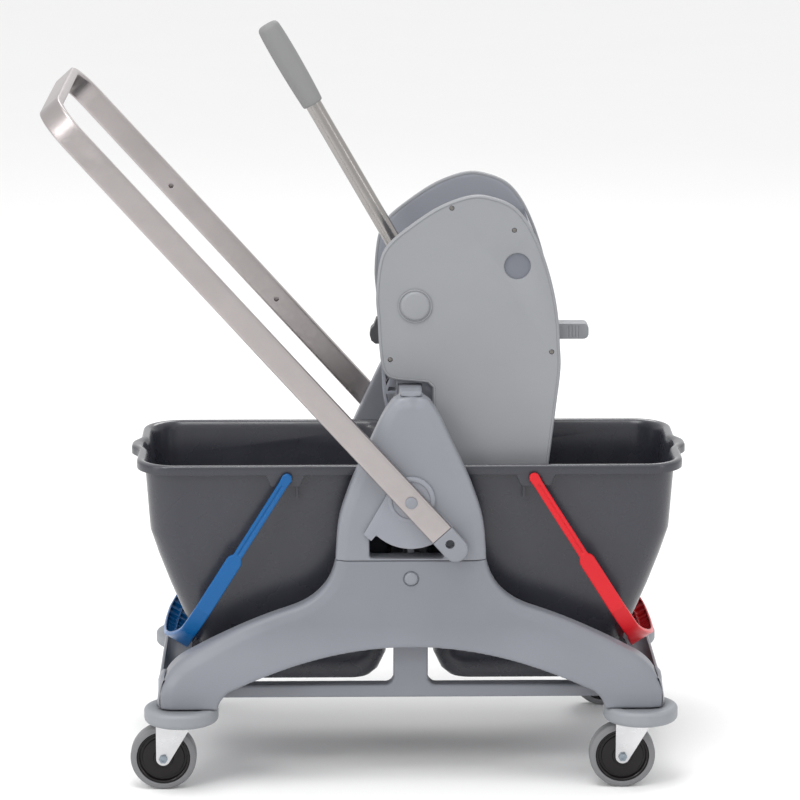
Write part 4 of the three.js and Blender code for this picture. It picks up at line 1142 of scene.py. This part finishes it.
def lever():
    axis = Vector((-math.sin(LEVER_ANGLE), 0, math.cos(LEVER_ANGLE)))
    base = SHAFT + LEVER_OFFSET * Vector((math.cos(LEVER_ANGLE), 0, math.sin(LEVER_ANGLE)))
    tube_top = LEVER_LENGTH - 10
    tube = turned("lever_bar", [(8.5, 20.5), (10, 20.5), (10, tube_top), (8.5, tube_top)], base, axis, 64)
    piece(tube, bright_steel, "lever", "bright_steel", "lever_tube")
    foot_s = LEVER_LENGTH - GRIP_LENGTH
    skin = spline([(12.9, foot_s + 1.2), (13.4, foot_s + 8), (14.3, foot_s + 30), (14.9, foot_s + 62),
                   (14.6, foot_s + 90), (13.9, foot_s + 104)], 6)
    dome = quad_curve(skin[-1], (13.6, LEVER_LENGTH - 0.3), (7, LEVER_LENGTH - 0.2), 8)
    hollow = [(0, LEVER_LENGTH), (0, tube_top + 0.3), (10.3, tube_top + 0.3)]
    profile = [(10.3, foot_s), (12.2, foot_s), *skin, *dome, *hollow]
    grip = turned("lever_handgrip", profile, base, axis, 64)
    piece(grip, grip_rubber, "lever", "grip_rubber", "lever_grip")


# ---- carried-over pieces


def carry_over():
    """CAD nodes whose shape is right keep it, with eased edges and a proper material."""
    steel = ["guide_rod_near", "guide_rod_far", "lever_shaft", "return_spring"]
    inner = ["centre_saddle", "drain_plate", "press_plate", "lever_hub"]
    outer = ["bucket_seat_left", "bucket_seat_right"]
    for names, material, width in ((steel, bright_steel, 0.3), (inner, inner_plastic, 0.7),
                                   (outer, frame_plastic, 1.4)):
        for name in names:
            obj = frame["nodes"][name]
            obj.data.materials.clear()
            obj.data.materials.append(material)
            weld = obj.modifiers.new("weld", "WELD")
            weld.merge_threshold = 0.00001
            eased(obj, width, 3, 28)
            by_angle = obj.modifiers.new("normals", "WEIGHTED_NORMAL")
            by_angle.keep_sharp = True


# ---- stage, light and camera

FLOOR_REACH, FLOOR_Z = 9000, -0.3
# place, width, height, power
SOFTBOXES = (((-0.4, -1.1, 3.5), 1.7, 1.7, 54), ((-2.5, -3.2, 3.0), 1.1, 1.1, 42), ((0.6, 2.6, 2.8), 1.6, 1.2, 28),
             ((-2.7, -1.6, 0.9), 0.4, 2.2, 12), ((2.9, -2.0, 0.9), 0.35, 2.2, 9))
CAMERA_PITCH, CAMERA_YAW = math.radians(12.2672), math.radians(0.9761)
CAMERA_PLACE = (CENTRE_X - 90.751) * MM, -4.706117, 1.465729
CAMERA_LENS = 175.5


def stage():
    corners = rectangle(-FLOOR_REACH, -FLOOR_REACH, FLOOR_REACH, FLOOR_REACH)
    floor = make("floor", [(x, y, FLOOR_Z) for x, y in corners], [(0, 1, 2, 3)])
    pale = Nodes("pale_floor")
    tint = pale.ramp(pale.noise(3, 2), [0.875] * 3, [0.88] * 3)
    pale.link(tint, pale.shader.inputs["Base Color"])
    pale.shader.inputs["Roughness"].default_value = 0.8
    floor.data.materials.append(pale.material)
    world = bpy.data.worlds.new("studio")
    bpy.context.scene.world = world
    world.use_nodes = True
    background = world.node_tree.nodes["Background"]
    background.inputs["Color"].default_value = (1, 1, 1, 1)
    background.inputs["Strength"].default_value = 1.0
    low, high = cad_box
    target = (low + high) / 2
    for number, (place, width, height, power) in enumerate(SOFTBOXES, 1):
        light = bpy.data.lights.new(f"softbox_{number}", "AREA")
        light.shape = "RECTANGLE"
        light.size, light.size_y = width, height
        light.energy = power
        lamp = placed_in_scene(f"softbox_{number}", light)
        lamp.location = place
        lamp.rotation_mode = "QUATERNION"
        lamp.rotation_quaternion = (target - lamp.location).to_track_quat("-Z", "Y")


def camera():
    level = math.cos(CAMERA_PITCH)
    forward = Vector((math.sin(CAMERA_YAW) * level, math.cos(CAMERA_YAW) * level, -math.sin(CAMERA_PITCH)))
    data = bpy.data.cameras.new("camera")
    data.sensor_width = 36
    data.lens = CAMERA_LENS
    data.clip_end = 100
    eye = placed_in_scene("camera", data)
    eye.location = CAMERA_PLACE
    eye.rotation_mode = "QUATERNION"
    eye.rotation_quaternion = forward.to_track_quat("-Z", "Y")
    bpy.context.scene.camera = eye
    bpy.context.scene.view_settings.view_transform = "Standard"


camera()
stage()
chassis()
end_walls()
towers()
for side_name, _ in SIDES:
    for end_name, _ in ENDS:
        caster(side_name, end_name)
buckets()
bails()
handle()
wringer()
lever()
carry_over()
